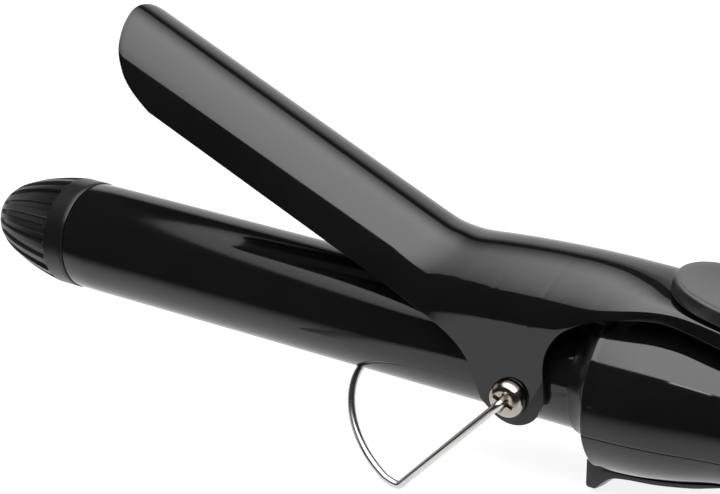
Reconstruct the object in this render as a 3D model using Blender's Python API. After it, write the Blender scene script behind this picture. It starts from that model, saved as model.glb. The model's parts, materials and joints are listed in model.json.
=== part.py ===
"""Curling iron with a spring clamp and a wire stand, built as separate pieces.

The iron is drawn in its own frame: X along the barrel's axis towards the cord end, Z up, and
the clamp's pivot at X = 0.  An empty then tips the whole iron onto its two wire feet and the
back of its handle, with the middle of its footprint at the world's origin.
"""
import math

import bmesh
import bpy
from mathutils import Matrix, Vector

MM = 0.001
GAP = 0.3 * MM                      # clearance between pieces that touch or slide

# Barrel, the heated tube that hair is wound on
BARREL_RADIUS = 14.0 * MM
BARREL_WALL = 1.0 * MM
BARREL_FRONT = -137.3 * MM
BARREL_REAR = 36.0 * MM
ROUND_STEPS = 40

# Cool tip, the fluted cap on the barrel's front end
TIP_RADIUS = 14.2 * MM
TIP_BAND = 6.0 * MM
TIP_TAPER = 24.0 * MM
TIP_BLUNTNESS = (1.16, 2.9)         # exponents of the taper's curve
TIP_WALL = 1.8 * MM
TIP_SPIGOT = 9.0 * MM
FLUTE_COUNT = 20
FLUTE_DEPTH = 0.8 * MM
FLUTE_SHARE = 0.55                  # part of each pitch that is groove
FLUTE_NOSE = 3.2 * MM               # plain nose in front of the flutes

# Clamp pivot
PIVOT_DROP = 3.8 * MM               # pivot axis below the barrel's axis
SCREW_SHANK_RADIUS = 1.6 * MM
SCREW_HEAD_RADIUS = 4.7 * MM
SCREW_HEAD_HEIGHT = 2.8 * MM
SCREW_HOLE_RADIUS = 1.35 * MM       # hole in the head that takes the stand's wire
SCREW_HOLE_DEPTH = 2.0 * MM
RECESS_LENGTH = 5.6 * MM
RECESS_WIDTH = 1.1 * MM
RECESS_DEPTH = 1.1 * MM
BOSS_RADIUS = 3.0 * MM
BOSS_FLANGE_RADIUS = 4.2 * MM
BOSS_FLANGE = 0.9 * MM
BOSS_CLEARANCE = 0.75 * MM          # between each flange's rim and the tube's curved wall
BOSS_INNER = (math.sqrt((BARREL_RADIUS - BARREL_WALL)**2 - (PIVOT_DROP + BOSS_FLANGE_RADIUS)**2)
              - BOSS_FLANGE - BOSS_CLEARANCE)  # inner end of each boss from the middle
RECESS_TURN = math.radians(20)

# Clamp: spoon, hump, ears and lever pressed from one sheet, drawn closed
SHEET = 0.9 * MM
SPOON_CLEARANCE = 0.3 * MM
SPOON_RADIUS = BARREL_RADIUS + SPOON_CLEARANCE + SHEET
SPOON_LENGTH = 138.0 * MM           # spoon's tip in front of the pivot
OPEN_ANGLE = math.radians(22.5)
NECK_START = -42.0 * MM
LEVER_END = 51.0 * MM
EAR_HALF_WIDTH = 16.0 * MM
LEVER_HALF_WIDTH = 11.4 * MM
LEVER_RISE = 0.2217                 # slope of the lever under the pad
CLAMP_SKIRT = -13.0 * MM            # how far the sides reach down before they are trimmed
SECTION_STEPS = 14
EAR_CENTRE = (0.1 * MM, -2.4 * MM)
EAR_LOBE_RADIUS = 8.1 * MM


def scaled(points):
    """Points given in millimetres as points in metres."""
    return [tuple(v * MM for v in point) for point in points]


CLAMP_WIDTH = [(NECK_START, SPOON_RADIUS)] + scaled([
    (-34, 15.5), (-28, 15.9), (-24, 16), (2, 16), (8, 15.7), (14, 14.6), (20, 12.9), (26, 11.7),
    (32, 11.4), (51, 11.4)])
CLAMP_TOP = [(NECK_START, SPOON_RADIUS)] + scaled([
    (-38, 15.4), (-34, 16.4), (-30, 17.9), (-23, 21.6), (-15.6, 25.4), (-8.3, 28.9), (-1, 32.1),
    (6.2, 34.8), (13.5, 36.9), (19.4, 38.1), (35, 41.5), (51, 45.0)])
CLAMP_SPRING_LINE = [(NECK_START, 0.0)] + scaled([
    (-34, 0.6), (-28, 2.8), (-24.5, 4.6), (-15.2, 9.9), (-7.5, 13.8), (-0.4, 17.4), (6, 21.6),
    (13, 27.8), (20, 33.6), (27, 36.4), (35, 38.4), (51, 41.9)])
CLAMP_SQUARENESS = [(NECK_START, 2.0), (8 * MM, 2.0), (20 * MM, 2.6), (30 * MM, 4.0), (LEVER_END, 4.0)]
SPOON_NOSE = scaled([                # distance behind the spoon's tip and height over the axis
    (0, 17), (0.5, 15.2), (1.3, 14.5), (2.1, 13.7), (3, 12.6), (4.1, 11.3), (5.3, 9.8), (7, 8.05),
    (9.3, 6.2), (12.2, 4.2), (16.6, 2.3), (21.5, 0.9)])
EAR_FRONT = scaled([(-36, 0.9), (-28, 1.0), (-23, 0.8), (-17.2, -0.4), (-12.5, -2.9), (-9.4, -6.0),
                    (-6.2, -9.0)])
EAR_REAR = scaled([(7.9, 0.4), (5.8, 5.0), (4.0, 8.8), (3.2, 13.2), (4.2, 18.6), (7.2, 23.3),
                   (11, 27.2), (15.3, 30.2), (20.5, 33.2), (25.3, 34.9), (37.8, 37.2), (51, 40.1)])

# Thumb pad
PAD_LENGTH = 33.0 * MM
PAD_HALF_WIDTH = 12.0 * MM
PAD_THICKNESS = 4.0 * MM
PAD_BEVEL = 0.7 * MM
PAD_SLOPE = math.radians(12.5)
PAD_CENTRE = (34.3 * MM, 43.75 * MM)  # middle of the pad's thickness
PAD_FULLNESS = 0.9
RIVET_RADIUS = 1.5 * MM
RIVET_REACH = 2.4 * MM              # rivet's length inside the pad
RIVET_SPREAD = 7.5 * MM             # from the pad's middle

# Wire stand
WIRE_RADIUS = 1.0 * MM
FOOT_FORWARD = 24.1 * MM
FOOT_DROP = 30.0 * MM
FOOT_HALF_WIDTH = 27.0 * MM
ARCH_FORWARD = 51.8 * MM
ARCH_NARROWING = 1.38              # above 1 the arch draws in sooner as it leaves each foot

# Heat collar and handle
COLLAR_FRONT = 14.2 * MM
COLLAR_BODY = 0.5 * MM
COLLAR_FLARE = 2.6 * MM
COLLAR_NECK_RADIUS = 16.6 * MM
HANDLE_FRONT = 21.2 * MM
HANDLE_REAR = 130.0 * MM
HANDLE_STATIONS = (                 # distance behind the handle's front and radius, in mm
    (0.0, 21.3), (5.5, 21.0), (12.0, 20.4), (20.0, 19.1), (30.0, 17.0), (41.0, 15.9),
    (54.0, 15.6), (69.0, 16.4), (84.0, 17.9), (97.0, 18.8), (108.8, 18.5),
)
HANDLE_WALL = 2.2 * MM
PARTING_DROP = 5.9 * MM
FRONT_EDGE = 0.7 * MM

# Rest heel under the handle's front, given as radii round the iron's axis
HEEL_HALF_WIDTH = 8.0 * MM
HEEL_FRONT = 16.7 * MM
HEEL_TOE = 2.3 * MM
HEEL_TOP_RADIUS = 20.0 * MM
HEEL_TOE_RADIUS = 26.8 * MM
HEEL_CURVE = scaled([(21.2, 24.6), (23.4, 23.1), (27.4, 22.3), (35, 21.5), (43.6, 19.9), (48, 18.7),
                     (52, 17.5)])
HEEL_PEG_X = 31.0 * MM
HEEL_PEG_RADIUS = 1.6 * MM

# Screws, board, switch and lamp in the handle
SCREW_POSTS = (58.0 * MM, 113.0 * MM)
POST_RADIUS = 3.6 * MM
CASE_SCREW_RADIUS = 1.3 * MM
CASE_SCREW_HEAD = 2.6 * MM
BOARD_FRONT = 64.0 * MM
BOARD_REAR = 106.0 * MM
BOARD_HALF_WIDTH = 6.2 * MM
BOARD_THICKNESS = 1.6 * MM
BOARD_LEVEL = -1.9 * MM
SWITCH_FRONT = 84.0 * MM
SWITCH_LEVEL = 11.6 * MM
SWITCH_TRAVEL = 6.5 * MM
SLIDER_LENGTH = 11.0 * MM
SLIDER_HALF_WIDTH = 3.8 * MM
LENS_X = 75.0 * MM
LENS_RADIUS = 2.2 * MM

# Rear end with the cord's swivel
END_LENGTH = 8.0 * MM
END_FACE_RADIUS = 14.6 * MM
SPIGOT_LENGTH = 6.0 * MM
SWIVEL_RADIUS = 7.8 * MM
SWIVEL_FLANGE = 10.6 * MM
SWIVEL_PROUD = 6.0 * MM
CORD_BORE_RADIUS = 3.6 * MM

# Heater, fuse and leads inside the barrel
HEATER = (-112.0 * MM, -22.0 * MM)  # front and rear of the spreaders
HEATER_INSET = 6.0 * MM
HEATER_THICKNESS = 2.4 * MM
HEATER_HALF_WIDTH = 6.0 * MM
SPRING_ROOM = 1.6 * MM
SPRING_STRIP = 0.4 * MM
FUSE_RADIUS = 2.0 * MM
LEAD_RADIUS = 0.9 * MM
LEAD_SPREAD = 5.0 * MM

# Return spring between barrel and lever
SPRING_X = 8.5 * MM
SPRING_RADIUS = 3.0 * MM
SPRING_WIRE = 0.55 * MM
SPRING_TURNS = 5
SPRING_TOP = 27.6 * MM

PIVOT = Vector((0.0, 0.0, -PIVOT_DROP))


# ------------------------------------------------------------------ scene helpers

def clear_scene():
    for thing in list(bpy.data.objects):
        bpy.data.objects.remove(thing, do_unlink=True)


def material(name, colour, roughness, metallic=0.0):
    found = bpy.data.materials.get(name)
    if found:
        return found
    made = bpy.data.materials.new(name)
    made.use_nodes = True
    shader = made.node_tree.nodes["Principled BSDF"]
    shader.inputs["Base Color"].default_value = (*colour, 1.0)
    shader.inputs["Roughness"].default_value = roughness
    shader.inputs["Metallic"].default_value = metallic
    return made


def finishes():
    return {
        "gloss": material("gloss_black", (0.012, 0.012, 0.013), 0.08),
        "satin": material("satin_black", (0.05, 0.05, 0.052), 0.45),
        "tip": material("tip_black", (0.03, 0.03, 0.031), 0.5),
        "plate": material("clamp_black", (0.014, 0.014, 0.015), 0.1, 0.4),
        "chrome": material("chrome", (0.86, 0.86, 0.86), 0.07, 1.0),
        "nickel": material("nickel", (0.72, 0.69, 0.64), 0.18, 1.0),
        "steel": material("spring_steel", (0.5, 0.5, 0.51), 0.3, 1.0),
        "aluminium": material("aluminium", (0.77, 0.78, 0.79), 0.35, 1.0),
        "ceramic": material("ceramic", (0.82, 0.8, 0.75), 0.6),
        "board": material("board_green", (0.06, 0.22, 0.1), 0.5),
        "board_parts": material("switch_black", (0.04, 0.04, 0.04), 0.4),
        "lead": material("lead_white", (0.75, 0.74, 0.7), 0.45),
        "lens": material("lens_red", (0.6, 0.04, 0.03), 0.15),
    }


def empty(name, location, parent=None, tilt=0.0):
    made = bpy.data.objects.new(name, None)
    bpy.context.scene.collection.objects.link(made)
    made.location = location
    made.rotation_euler = (0.0, tilt, 0.0)
    made.parent = parent
    return made


def place(name, mesh, finish, parent):
    """Object from a mesh drawn in the iron's frame, hung on a parent that may be a pivot."""
    made = bpy.data.objects.new(name, mesh)
    bpy.context.scene.collection.objects.link(made)
    mesh.materials.append(finish)
    made.parent = parent
    made.location = -Vector(parent.location) if parent.name.endswith("_pivot") else (0, 0, 0)
    return made


def mesh_from(name, bm):
    bmesh.ops.recalc_face_normals(bm, faces=bm.faces)
    mesh = bpy.data.meshes.new(name)
    bm.to_mesh(mesh)
    bm.free()
    mesh.shade_smooth()
    mesh.set_sharp_from_angle(angle=math.radians(35))
    return mesh


def guide(made):
    made.hide_render = True
    made.display_type = "WIRE"
    return made


def combine(target, tool, operation):
    guide(tool)
    change = target.modifiers.new(tool.name, "BOOLEAN")
    change.operation = operation
    change.solver = "EXACT"
    change.object = tool


def cut(target, *tools):
    for tool in tools:
        combine(target, tool, "DIFFERENCE")


def add(target, *tools):
    for tool in tools:
        combine(target, tool, "UNION")


# ------------------------------------------------------------------ shapes

def turned(name, profile, steps=ROUND_STEPS):
    """Mesh turned about X from a closed loop of (x, radius) points; radius 0 ends on the axis."""
    bm = bmesh.new()
    rings = []
    for x, radius in profile:
        if radius < 1e-7:
            rings.append([bm.verts.new((x, 0.0, 0.0))])
            continue
        rings.append([
            bm.verts.new((x, radius * math.sin(a), radius * math.cos(a)))
            for a in (2 * math.pi * k / steps for k in range(steps))
        ])
    closed = all(len(ring) > 1 for ring in rings)
    pairs = list(zip(rings, rings[1:])) + ([(rings[-1], rings[0])] if closed else [])
    for first, second in pairs:
        bridge(bm, first, second)
    return mesh_from(name, bm)


def bridge(bm, first, second):
    """Faces between two rings, either of which may be a single point."""
    count = max(len(first), len(second))
    for k in range(count):
        corners = [first[k % len(first)], first[(k + 1) % len(first)],
                   second[(k + 1) % len(second)], second[k % len(second)]]
        bm.faces.new(list(dict.fromkeys(corners)))


def extruded(name, outline, low, high, axis="Y"):
    """Prism of a closed outline: (x, z) points along Y, (x, y) along Z, or (y, z) along X."""
    order = {"X": lambda p, d: (d, p[0], p[1]),
             "Y": lambda p, d: (p[0], d, p[1]),
             "Z": lambda p, d: (p[0], p[1], d)}[axis]
    bm = bmesh.new()
    ends = [[bm.verts.new(order(p, depth)) for p in outline] for depth in (low, high)]
    bm.faces.new(ends[0])
    bm.faces.new(list(reversed(ends[1])))
    bridge(bm, ends[0], ends[1])
    return mesh_from(name, bm)


def box(name, low, high):
    outline = [(low[0], low[2]), (high[0], low[2]), (high[0], high[2]), (low[0], high[2])]
    return extruded(name, outline, low[1], high[1])


def rod(name, start, end, radius, steps=20):
    """Plain cylinder between two points."""
    start, end = Vector(start), Vector(end)
    along = end - start
    bm = bmesh.new()
    turn = along.to_track_quat("Z", "Y").to_matrix().to_4x4()
    bmesh.ops.create_cone(
        bm, cap_ends=True, segments=steps, radius1=radius, radius2=radius, depth=along.length,
        matrix=Matrix.Translation((start + end) / 2) @ turn)
    return mesh_from(name, bm)


def arc(centre, radius, start, end, steps):
    """Points on a circle between two angles given in degrees."""
    turns = [math.radians(start + (end - start) * k / steps) for k in range(steps + 1)]
    return [(centre[0] + radius * math.cos(t), centre[1] + radius * math.sin(t)) for t in turns]


def smooth_value(stations, x):
    """Catmull-Rom value at x through (x, value) stations."""
    last = len(stations) - 1
    i = max(k for k in range(last) if k == 0 or stations[k][0] <= x)
    x1, v1 = stations[i]
    x2, v2 = stations[i + 1]
    x0, v0 = stations[max(i - 1, 0)]
    x3, v3 = stations[min(i + 2, last)]
    t = (min(max(x, x1), x2) - x1) / (x2 - x1)
    m1 = (v2 - v0) / (x2 - x0) * (x2 - x1)
    m2 = (v3 - v1) / (x3 - x1) * (x2 - x1)
    return ((2 * t**3 - 3 * t**2 + 1) * v1 + (t**3 - 2 * t**2 + t) * m1
            + (3 * t**2 - 2 * t**3) * v2 + (t**3 - t**2) * m2)


def smooth_path(points, steps):
    """Catmull-Rom curve through (x, z) points."""
    out = []
    for i in range(len(points) - 1):
        p0, p1 = Vector(points[max(i - 1, 0)]), Vector(points[i])
        p2, p3 = Vector(points[i + 1]), Vector(points[min(i + 2, len(points) - 1)])
        for k in range(steps):
            t = k / steps
            out.append(tuple(0.5 * (2 * p1 + (p2 - p0) * t + (2 * p0 - 5 * p1 + 4 * p2 - p3) * t**2
                                    + (3 * p1 - p0 - 3 * p2 + p3) * t**3)))
    out.append(tuple(points[-1]))
    return out


def wire(name, points, radius, resolution, finish, parent):
    """Round wire through a list of points, with flat ends."""
    curve = bpy.data.curves.new(name, "CURVE")
    curve.dimensions = "3D"
    curve.bevel_depth = radius
    curve.bevel_resolution = resolution
    curve.use_fill_caps = True
    spline = curve.splines.new("POLY")
    spline.points.add(len(points) - 1)
    for point, place_at in zip(spline.points, points):
        point.co = (*place_at, 1.0)
    made = bpy.data.objects.new(name, curve)
    bpy.context.scene.collection.objects.link(made)
    curve.materials.append(finish)
    made.parent = parent
    made.location = -Vector(parent.location) if parent.name.endswith("_pivot") else (0, 0, 0)
    return made


# ------------------------------------------------------------------ barrel and tip

def tip_radius(depth):
    """Outer radius of the cool tip at a distance in front of the barrel."""
    share = min(max((depth - TIP_BAND) / TIP_TAPER, 0.0), 1.0)
    return TIP_RADIUS * (1 - share ** TIP_BLUNTNESS[0]) ** (1 / TIP_BLUNTNESS[1])


def flute_edges():
    """Angles round the tip, two on each rib and two in each groove, with their groove flag."""
    pitch = 2 * math.pi / FLUTE_COUNT
    side = 0.04 * pitch
    marks = []
    for k in range(FLUTE_COUNT):
        start = k * pitch
        groove_end = start + FLUTE_SHARE * pitch
        marks += [(start, False), (start + side, True), (groove_end, True),
                  (groove_end + side, False)]
    return marks


def tip_stations():
    """Depths in front of the barrel's end, each with its groove depth."""
    nose = TIP_BAND + TIP_TAPER
    grooved = [TIP_BAND + 0.4 * MM + (TIP_TAPER - FLUTE_NOSE - 0.8 * MM) * k / 5 for k in range(6)]
    plain = [(0.0, 0.0), (TIP_BAND, 0.0)]
    front = [(nose - FLUTE_NOSE + 0.2 * MM, 0.0), (nose - 1.4 * MM, 0.0)]
    return plain + [(d, FLUTE_DEPTH) for d in grooved] + front


def cool_tip(look, root):
    face = BARREL_FRONT - GAP
    bm = bmesh.new()
    rings = []
    for depth, groove in tip_stations():
        fade = min(1.0, tip_radius(depth) / (0.75 * TIP_RADIUS))
        ring = []
        for angle, grooved in flute_edges():
            radius = tip_radius(depth) - (groove * fade if grooved else 0.0)
            ring.append(bm.verts.new((face - depth, radius * math.sin(angle), radius * math.cos(angle))))
        rings.append(ring)
    nose = [bm.verts.new((face - TIP_BAND - TIP_TAPER, 0.0, 0.0))]
    for first, second in zip(rings, rings[1:] + [nose]):
        bridge(bm, first, second)
    spigot = BARREL_RADIUS - BARREL_WALL - GAP
    hollow = spigot - TIP_WALL
    inner = [(face, spigot), (face + TIP_SPIGOT, spigot), (face + TIP_SPIGOT, hollow),
             (face - TIP_BAND, hollow), (face - TIP_BAND - 0.4 * TIP_TAPER, 0.45 * hollow)]
    previous = rings[0]
    for x, radius in inner:
        ring = [bm.verts.new((x, radius * math.sin(a), radius * math.cos(a))) for a, _ in flute_edges()]
        bridge(bm, previous, ring)
        previous = ring
    bridge(bm, previous, [bm.verts.new((inner[-1][0] - 2 * MM, 0.0, 0.0))])
    return place("cool_tip", mesh_from("cool_tip", bm), look["tip"], root)


def barrel_tube(look, root):
    inner = BARREL_RADIUS - BARREL_WALL
    profile = [(BARREL_FRONT, BARREL_RADIUS), (BARREL_REAR, BARREL_RADIUS),
               (BARREL_REAR, inner), (BARREL_FRONT, inner)]
    tube = place("barrel_tube", turned("barrel_tube", profile, 56), look["gloss"], root)
    hole = rod("boss_holes", (0, -2 * BARREL_RADIUS, PIVOT.z), (0, 2 * BARREL_RADIUS, PIVOT.z),
               BOSS_RADIUS + GAP)
    cut(tube, place("boss_holes", hole, look["steel"], root))
    return tube


# ------------------------------------------------------------------ heater inside the barrel

def heater_parts(look, root):
    """Heating plate held between two half-round spreaders by a bowed spring."""
    front, rear = HEATER
    half = HEATER_THICKNESS / 2
    plate = box("ptc_heater", (front + HEATER_INSET, -HEATER_HALF_WIDTH, -half),
                (rear - HEATER_INSET, HEATER_HALF_WIDTH, half))
    place("ptc_heater", plate, look["ceramic"], root)
    bore = BARREL_RADIUS - BARREL_WALL - GAP
    flat = half + GAP
    for name, sign, level in (("heat_spreader_upper", 1, flat),
                              ("heat_spreader_lower", -1, flat + SPRING_ROOM)):
        edge = math.degrees(math.asin(level / bore))
        outline = [(y, sign * z) for y, z in arc((0, 0), bore, edge, 180 - edge, 16)]
        place(name, extruded(name, outline, front, rear, "X"), look["aluminium"], root)
    bow = SPRING_ROOM - SPRING_STRIP - GAP
    reach = (rear - front) / 2 - 2 * HEATER_INSET
    middle = (front + rear) / 2
    upper = [(middle + reach * s, -flat - bow * s * s) for s in (k / 6 for k in range(-6, 7))]
    lower = [(x, z - SPRING_STRIP) for x, z in reversed(upper)]
    strip = extruded("spreader_spring", upper + lower, -HEATER_HALF_WIDTH / 2, HEATER_HALF_WIDTH / 2)
    place("spreader_spring", strip, look["steel"], root)


def fuse_and_leads(look, root):
    """Thermal fuse in the barrel's root and the two leads from the heater to the board."""
    fuse = rod("thermal_fuse", (8 * MM, 0, 5 * MM), (19 * MM, 0, 5 * MM), FUSE_RADIUS, 16)
    place("thermal_fuse", fuse, look["aluminium"], root)
    start = HEATER[1] - HEATER_INSET + GAP
    end = BOARD_FRONT - GAP
    drop = BOARD_LEVEL - BOARD_THICKNESS / 2
    for name, side in (("heater_lead_left", -1), ("heater_lead_right", 1)):
        points = []
        for k in range(13):
            share = k / 12
            ease = share * share * (3 - 2 * share)
            points.append((start + (end - start) * share, side * LEAD_SPREAD, drop * ease))
        wire(name, points, LEAD_RADIUS, 2, look["lead"], root)


# ------------------------------------------------------------------ pivot

def pivot_parts(look, root):
    """Threaded boss through each side of the barrel, and the pan-head screw that turns in it."""
    inside = EAR_HALF_WIDTH - SHEET - GAP
    for side, name in ((-1, "left"), (1, "right")):
        def at(depth):
            return (0.0, side * depth, PIVOT.z)
        boss = place(f"pivot_boss_{name}", rod("boss", at(BOSS_INNER), at(inside), BOSS_RADIUS, 28),
                     look["steel"], root)
        flange = rod("boss_flange", at(BOSS_INNER), at(BOSS_INNER + BOSS_FLANGE), BOSS_FLANGE_RADIUS, 28)
        bore = rod("boss_bore", at(BOSS_INNER - MM), at(inside + MM), SCREW_SHANK_RADIUS + GAP, 20)
        add(boss, place(f"boss_flange_{name}", flange, look["steel"], root))
        cut(boss, place(f"boss_bore_{name}", bore, look["steel"], root))
        pivot_screw(look, root, side, name)


def pivot_screw(look, root, side, name):
    """Pan-head screw, turned about the pivot axis, with a cross recess and the wire's hole."""
    seat = EAR_HALF_WIDTH + GAP
    crown = seat + SCREW_HEAD_HEIGHT
    tip = BOSS_INNER + GAP
    edge = [(seat + SCREW_HEAD_HEIGHT * math.sin(t) ** 0.9,
             SCREW_HEAD_RADIUS * (0.42 + 0.58 * math.cos(t) ** 0.8))
            for t in (math.pi / 2 * k / 5 for k in range(6))]
    profile = [(tip, 0.0), (tip, SCREW_SHANK_RADIUS), (seat, SCREW_SHANK_RADIUS),
               (seat, SCREW_HEAD_RADIUS * 0.96)] + edge + [(crown, 0.0)]
    mesh = turned(f"pivot_screw_{name}", profile, 28)
    mesh.transform(Matrix.Translation(PIVOT) @ Matrix.Rotation(side * math.pi / 2, 4, "Z"))
    screw = place(f"pivot_screw_{name}", mesh, look["nickel"], root)
    hole = rod("wire_hole", (0, side * (crown - SCREW_HOLE_DEPTH), PIVOT.z),
               (0, side * (crown + MM), PIVOT.z), SCREW_HOLE_RADIUS, 20)
    floor, out = sorted((side * (crown - RECESS_DEPTH), side * (crown + MM)))
    cut(screw, place(f"wire_hole_{name}", hole, look["nickel"], root))
    for turn in (RECESS_TURN, RECESS_TURN + math.pi / 2):
        slot = box("slot", (-RECESS_LENGTH / 2, floor, -RECESS_WIDTH / 2),
                   (RECESS_LENGTH / 2, out, RECESS_WIDTH / 2))
        slot.transform(Matrix.Translation(PIVOT) @ Matrix.Rotation(turn, 4, "Y"))
        cut(screw, place(f"slot_{name}_{round(math.degrees(turn))}", slot, look["nickel"], root))


# ------------------------------------------------------------------ clamp

def clamp_section(x):
    """Closed outline (y, z) of the folded sheet at a distance along the clamp, before trimming."""
    width = smooth_value(CLAMP_WIDTH, x)
    top = smooth_value(CLAMP_TOP, x)
    spring_line = smooth_value(CLAMP_SPRING_LINE, x)
    power = smooth_value(CLAMP_SQUARENESS, x)
    loops = []
    for inset in (0.0, SHEET):
        half, rise = width - inset, top - inset - spring_line
        side = []
        for k in range(SECTION_STEPS + 1):
            t = math.pi * k / SECTION_STEPS
            y = -math.copysign(abs(math.cos(t)) ** (2 / power), math.cos(t)) * half
            side.append((y, spring_line + rise * math.sin(t) ** (2 / power)))
        loops.append([(-half, CLAMP_SKIRT)] + side + [(half, CLAMP_SKIRT)])
    return loops[0] + list(reversed(loops[1]))


def clamp_underside():
    """Outline (x, z) of everything trimmed away below the clamp's edges."""
    tip = -SPOON_LENGTH
    nose = smooth_path([(tip + behind, height) for behind, height in SPOON_NOSE], 2)
    front = smooth_path(EAR_FRONT, 4)
    lobe = arc(EAR_CENTRE, EAR_LOBE_RADIUS, 250, 352, 14)
    rear = smooth_path(EAR_REAR, 4)
    far, deep = 12 * MM, CLAMP_SKIRT - 10 * MM
    return ([(tip - far, deep), (tip - far, SPOON_NOSE[0][1])] + nose + front + lobe
            + rear + [(LEVER_END + far, rear[-1][1] + far * LEVER_RISE), (LEVER_END + far, deep)])


def clamp(look, pivot):
    stations = [-SPOON_LENGTH, -SPOON_LENGTH + SPOON_NOSE[-1][0], -SPOON_LENGTH / 2 + NECK_START / 2]
    steps = 24
    stations += [NECK_START + (LEVER_END - NECK_START) * k / steps for k in range(steps + 1)]
    bm = bmesh.new()
    rings = [[bm.verts.new((x, y, z)) for y, z in clamp_section(x)] for x in stations]
    for first, second in zip(rings, rings[1:]):
        bridge(bm, first, second)
    count = len(rings[0])
    for ring in (rings[0], rings[-1]):
        for k in range(count // 2 - 1):
            bm.faces.new([ring[k], ring[k + 1], ring[count - 2 - k], ring[count - 1 - k]])
    sheet = place("clamp", mesh_from("clamp", bm), look["plate"], pivot)
    wide = EAR_HALF_WIDTH + 4 * MM
    trim = extruded("clamp_trim", clamp_underside(), -wide, wide)
    hole = rod("clamp_holes", (0, -wide, PIVOT.z), (0, wide, PIVOT.z), SCREW_SHANK_RADIUS + GAP)
    rounding = lever_rounding()
    rivets = [pad_rod("rivet_hole", along, -2 * PAD_THICKNESS, 0, RIVET_RADIUS + GAP)
              for along in (-RIVET_SPREAD, RIVET_SPREAD)]
    cut(sheet, *[place(f"clamp_cut_{k}", tool, look["plate"], pivot)
                 for k, tool in enumerate([trim, hole, *rounding, *rivets])])
    return sheet


def lever_rounding():
    """Tools that round the lever's two rear corners, seen from above."""
    tools = []
    radius = LEVER_HALF_WIDTH * 0.9
    for side in (-1, 1):
        centre = (LEVER_END - radius, side * (LEVER_HALF_WIDTH - radius))
        bend = arc(centre, radius, 0, side * 90, 10)
        far = (LEVER_END + 3 * MM, side * (LEVER_HALF_WIDTH + 3 * MM))
        outline = [(far[0], bend[0][1])] + bend + [(bend[-1][0], far[1]), far]
        tools.append(extruded("lever_corner", outline, 20 * MM, 60 * MM, "Z"))
    return tools


def pad_frame():
    """Placement of the pad: its middle on the lever, tipped by the lever's rise."""
    return Matrix.Translation((PAD_CENTRE[0], 0, PAD_CENTRE[1])) @ Matrix.Rotation(-PAD_SLOPE, 4, "Y")


def pad_rod(name, along, low, high, radius):
    """Cylinder square to the pad, between two heights measured from the pad's middle."""
    mesh = rod(name, (along, 0, low), (along, 0, high), radius, 16)
    mesh.transform(pad_frame())
    return mesh


def thumb_pad(look, pivot):
    """Oval pad with bevelled rims, and the rivets that hold it on the lever."""
    half, base = PAD_LENGTH / 2, -PAD_THICKNESS / 2
    levels = [(base, PAD_BEVEL), (base + PAD_BEVEL, 0.0), (-base - PAD_BEVEL, 0.0), (-base, PAD_BEVEL)]
    bm = bmesh.new()
    rings = []
    for z, inset in levels:
        ring = []
        for k in range(40):
            t = 2 * math.pi * k / 40
            c, s = math.cos(t), math.sin(t)
            x = math.copysign(abs(c) ** PAD_FULLNESS, c) * (half - inset)
            y = math.copysign(abs(s) ** PAD_FULLNESS, s) * (PAD_HALF_WIDTH - inset)
            ring.append(bm.verts.new((x, y, z)))
        rings.append(ring)
    for first, second in zip(rings, rings[1:]):
        bridge(bm, first, second)
    bm.faces.new(rings[0])
    bm.faces.new(list(reversed(rings[-1])))
    mesh = mesh_from("thumb_pad", bm)
    mesh.transform(pad_frame())
    pad = place("thumb_pad", mesh, look["satin"], pivot)
    under = base - GAP - SHEET - GAP
    inner = base + RIVET_REACH
    for name, along in zip(("pad_rivet_front", "pad_rivet_rear"), (-RIVET_SPREAD, RIVET_SPREAD)):
        hole = pad_rod("pad_hole", along, base - MM, inner + GAP, RIVET_RADIUS + GAP)
        cut(pad, place(f"{name}_hole", hole, look["steel"], pivot))
        profile = [(under - 1.1 * MM, 0.0), (under - 1.1 * MM, 2.2 * MM), (under, 2.7 * MM),
                   (under, RIVET_RADIUS), (inner, RIVET_RADIUS), (inner, 0.0)]
        rivet = turned(name, profile, 16)
        upright = Matrix.Rotation(-math.pi / 2, 4, "Y")
        rivet.transform(pad_frame() @ Matrix.Translation((along, 0, 0)) @ upright)
        place(name, rivet, look["steel"], pivot)


def return_spring(look, root):
    """Coil between the barrel's top and the underside of the pressed lever, on its own seat."""
    seat_low = BARREL_RADIUS + GAP
    seat_high = seat_low + 1.0 * MM
    rim = SPRING_RADIUS + SPRING_WIRE + 0.5 * MM
    seat = rod("spring_seat", (SPRING_X, 0, seat_low), (SPRING_X, 0, seat_high), rim, 24)
    place("spring_seat", seat, look["steel"], root)
    low = seat_high + GAP + SPRING_WIRE
    high = SPRING_TOP - SPRING_WIRE
    points = []
    steps = 12 * SPRING_TURNS
    for k in range(steps + 1):
        turn = 2 * math.pi * SPRING_TURNS * k / steps
        points.append((SPRING_X + SPRING_RADIUS * math.cos(turn), SPRING_RADIUS * math.sin(turn),
                       low + (high - low) * k / steps))
    wire("return_spring", points, SPRING_WIRE, 1, look["steel"], root)


# ------------------------------------------------------------------ wire stand

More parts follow.
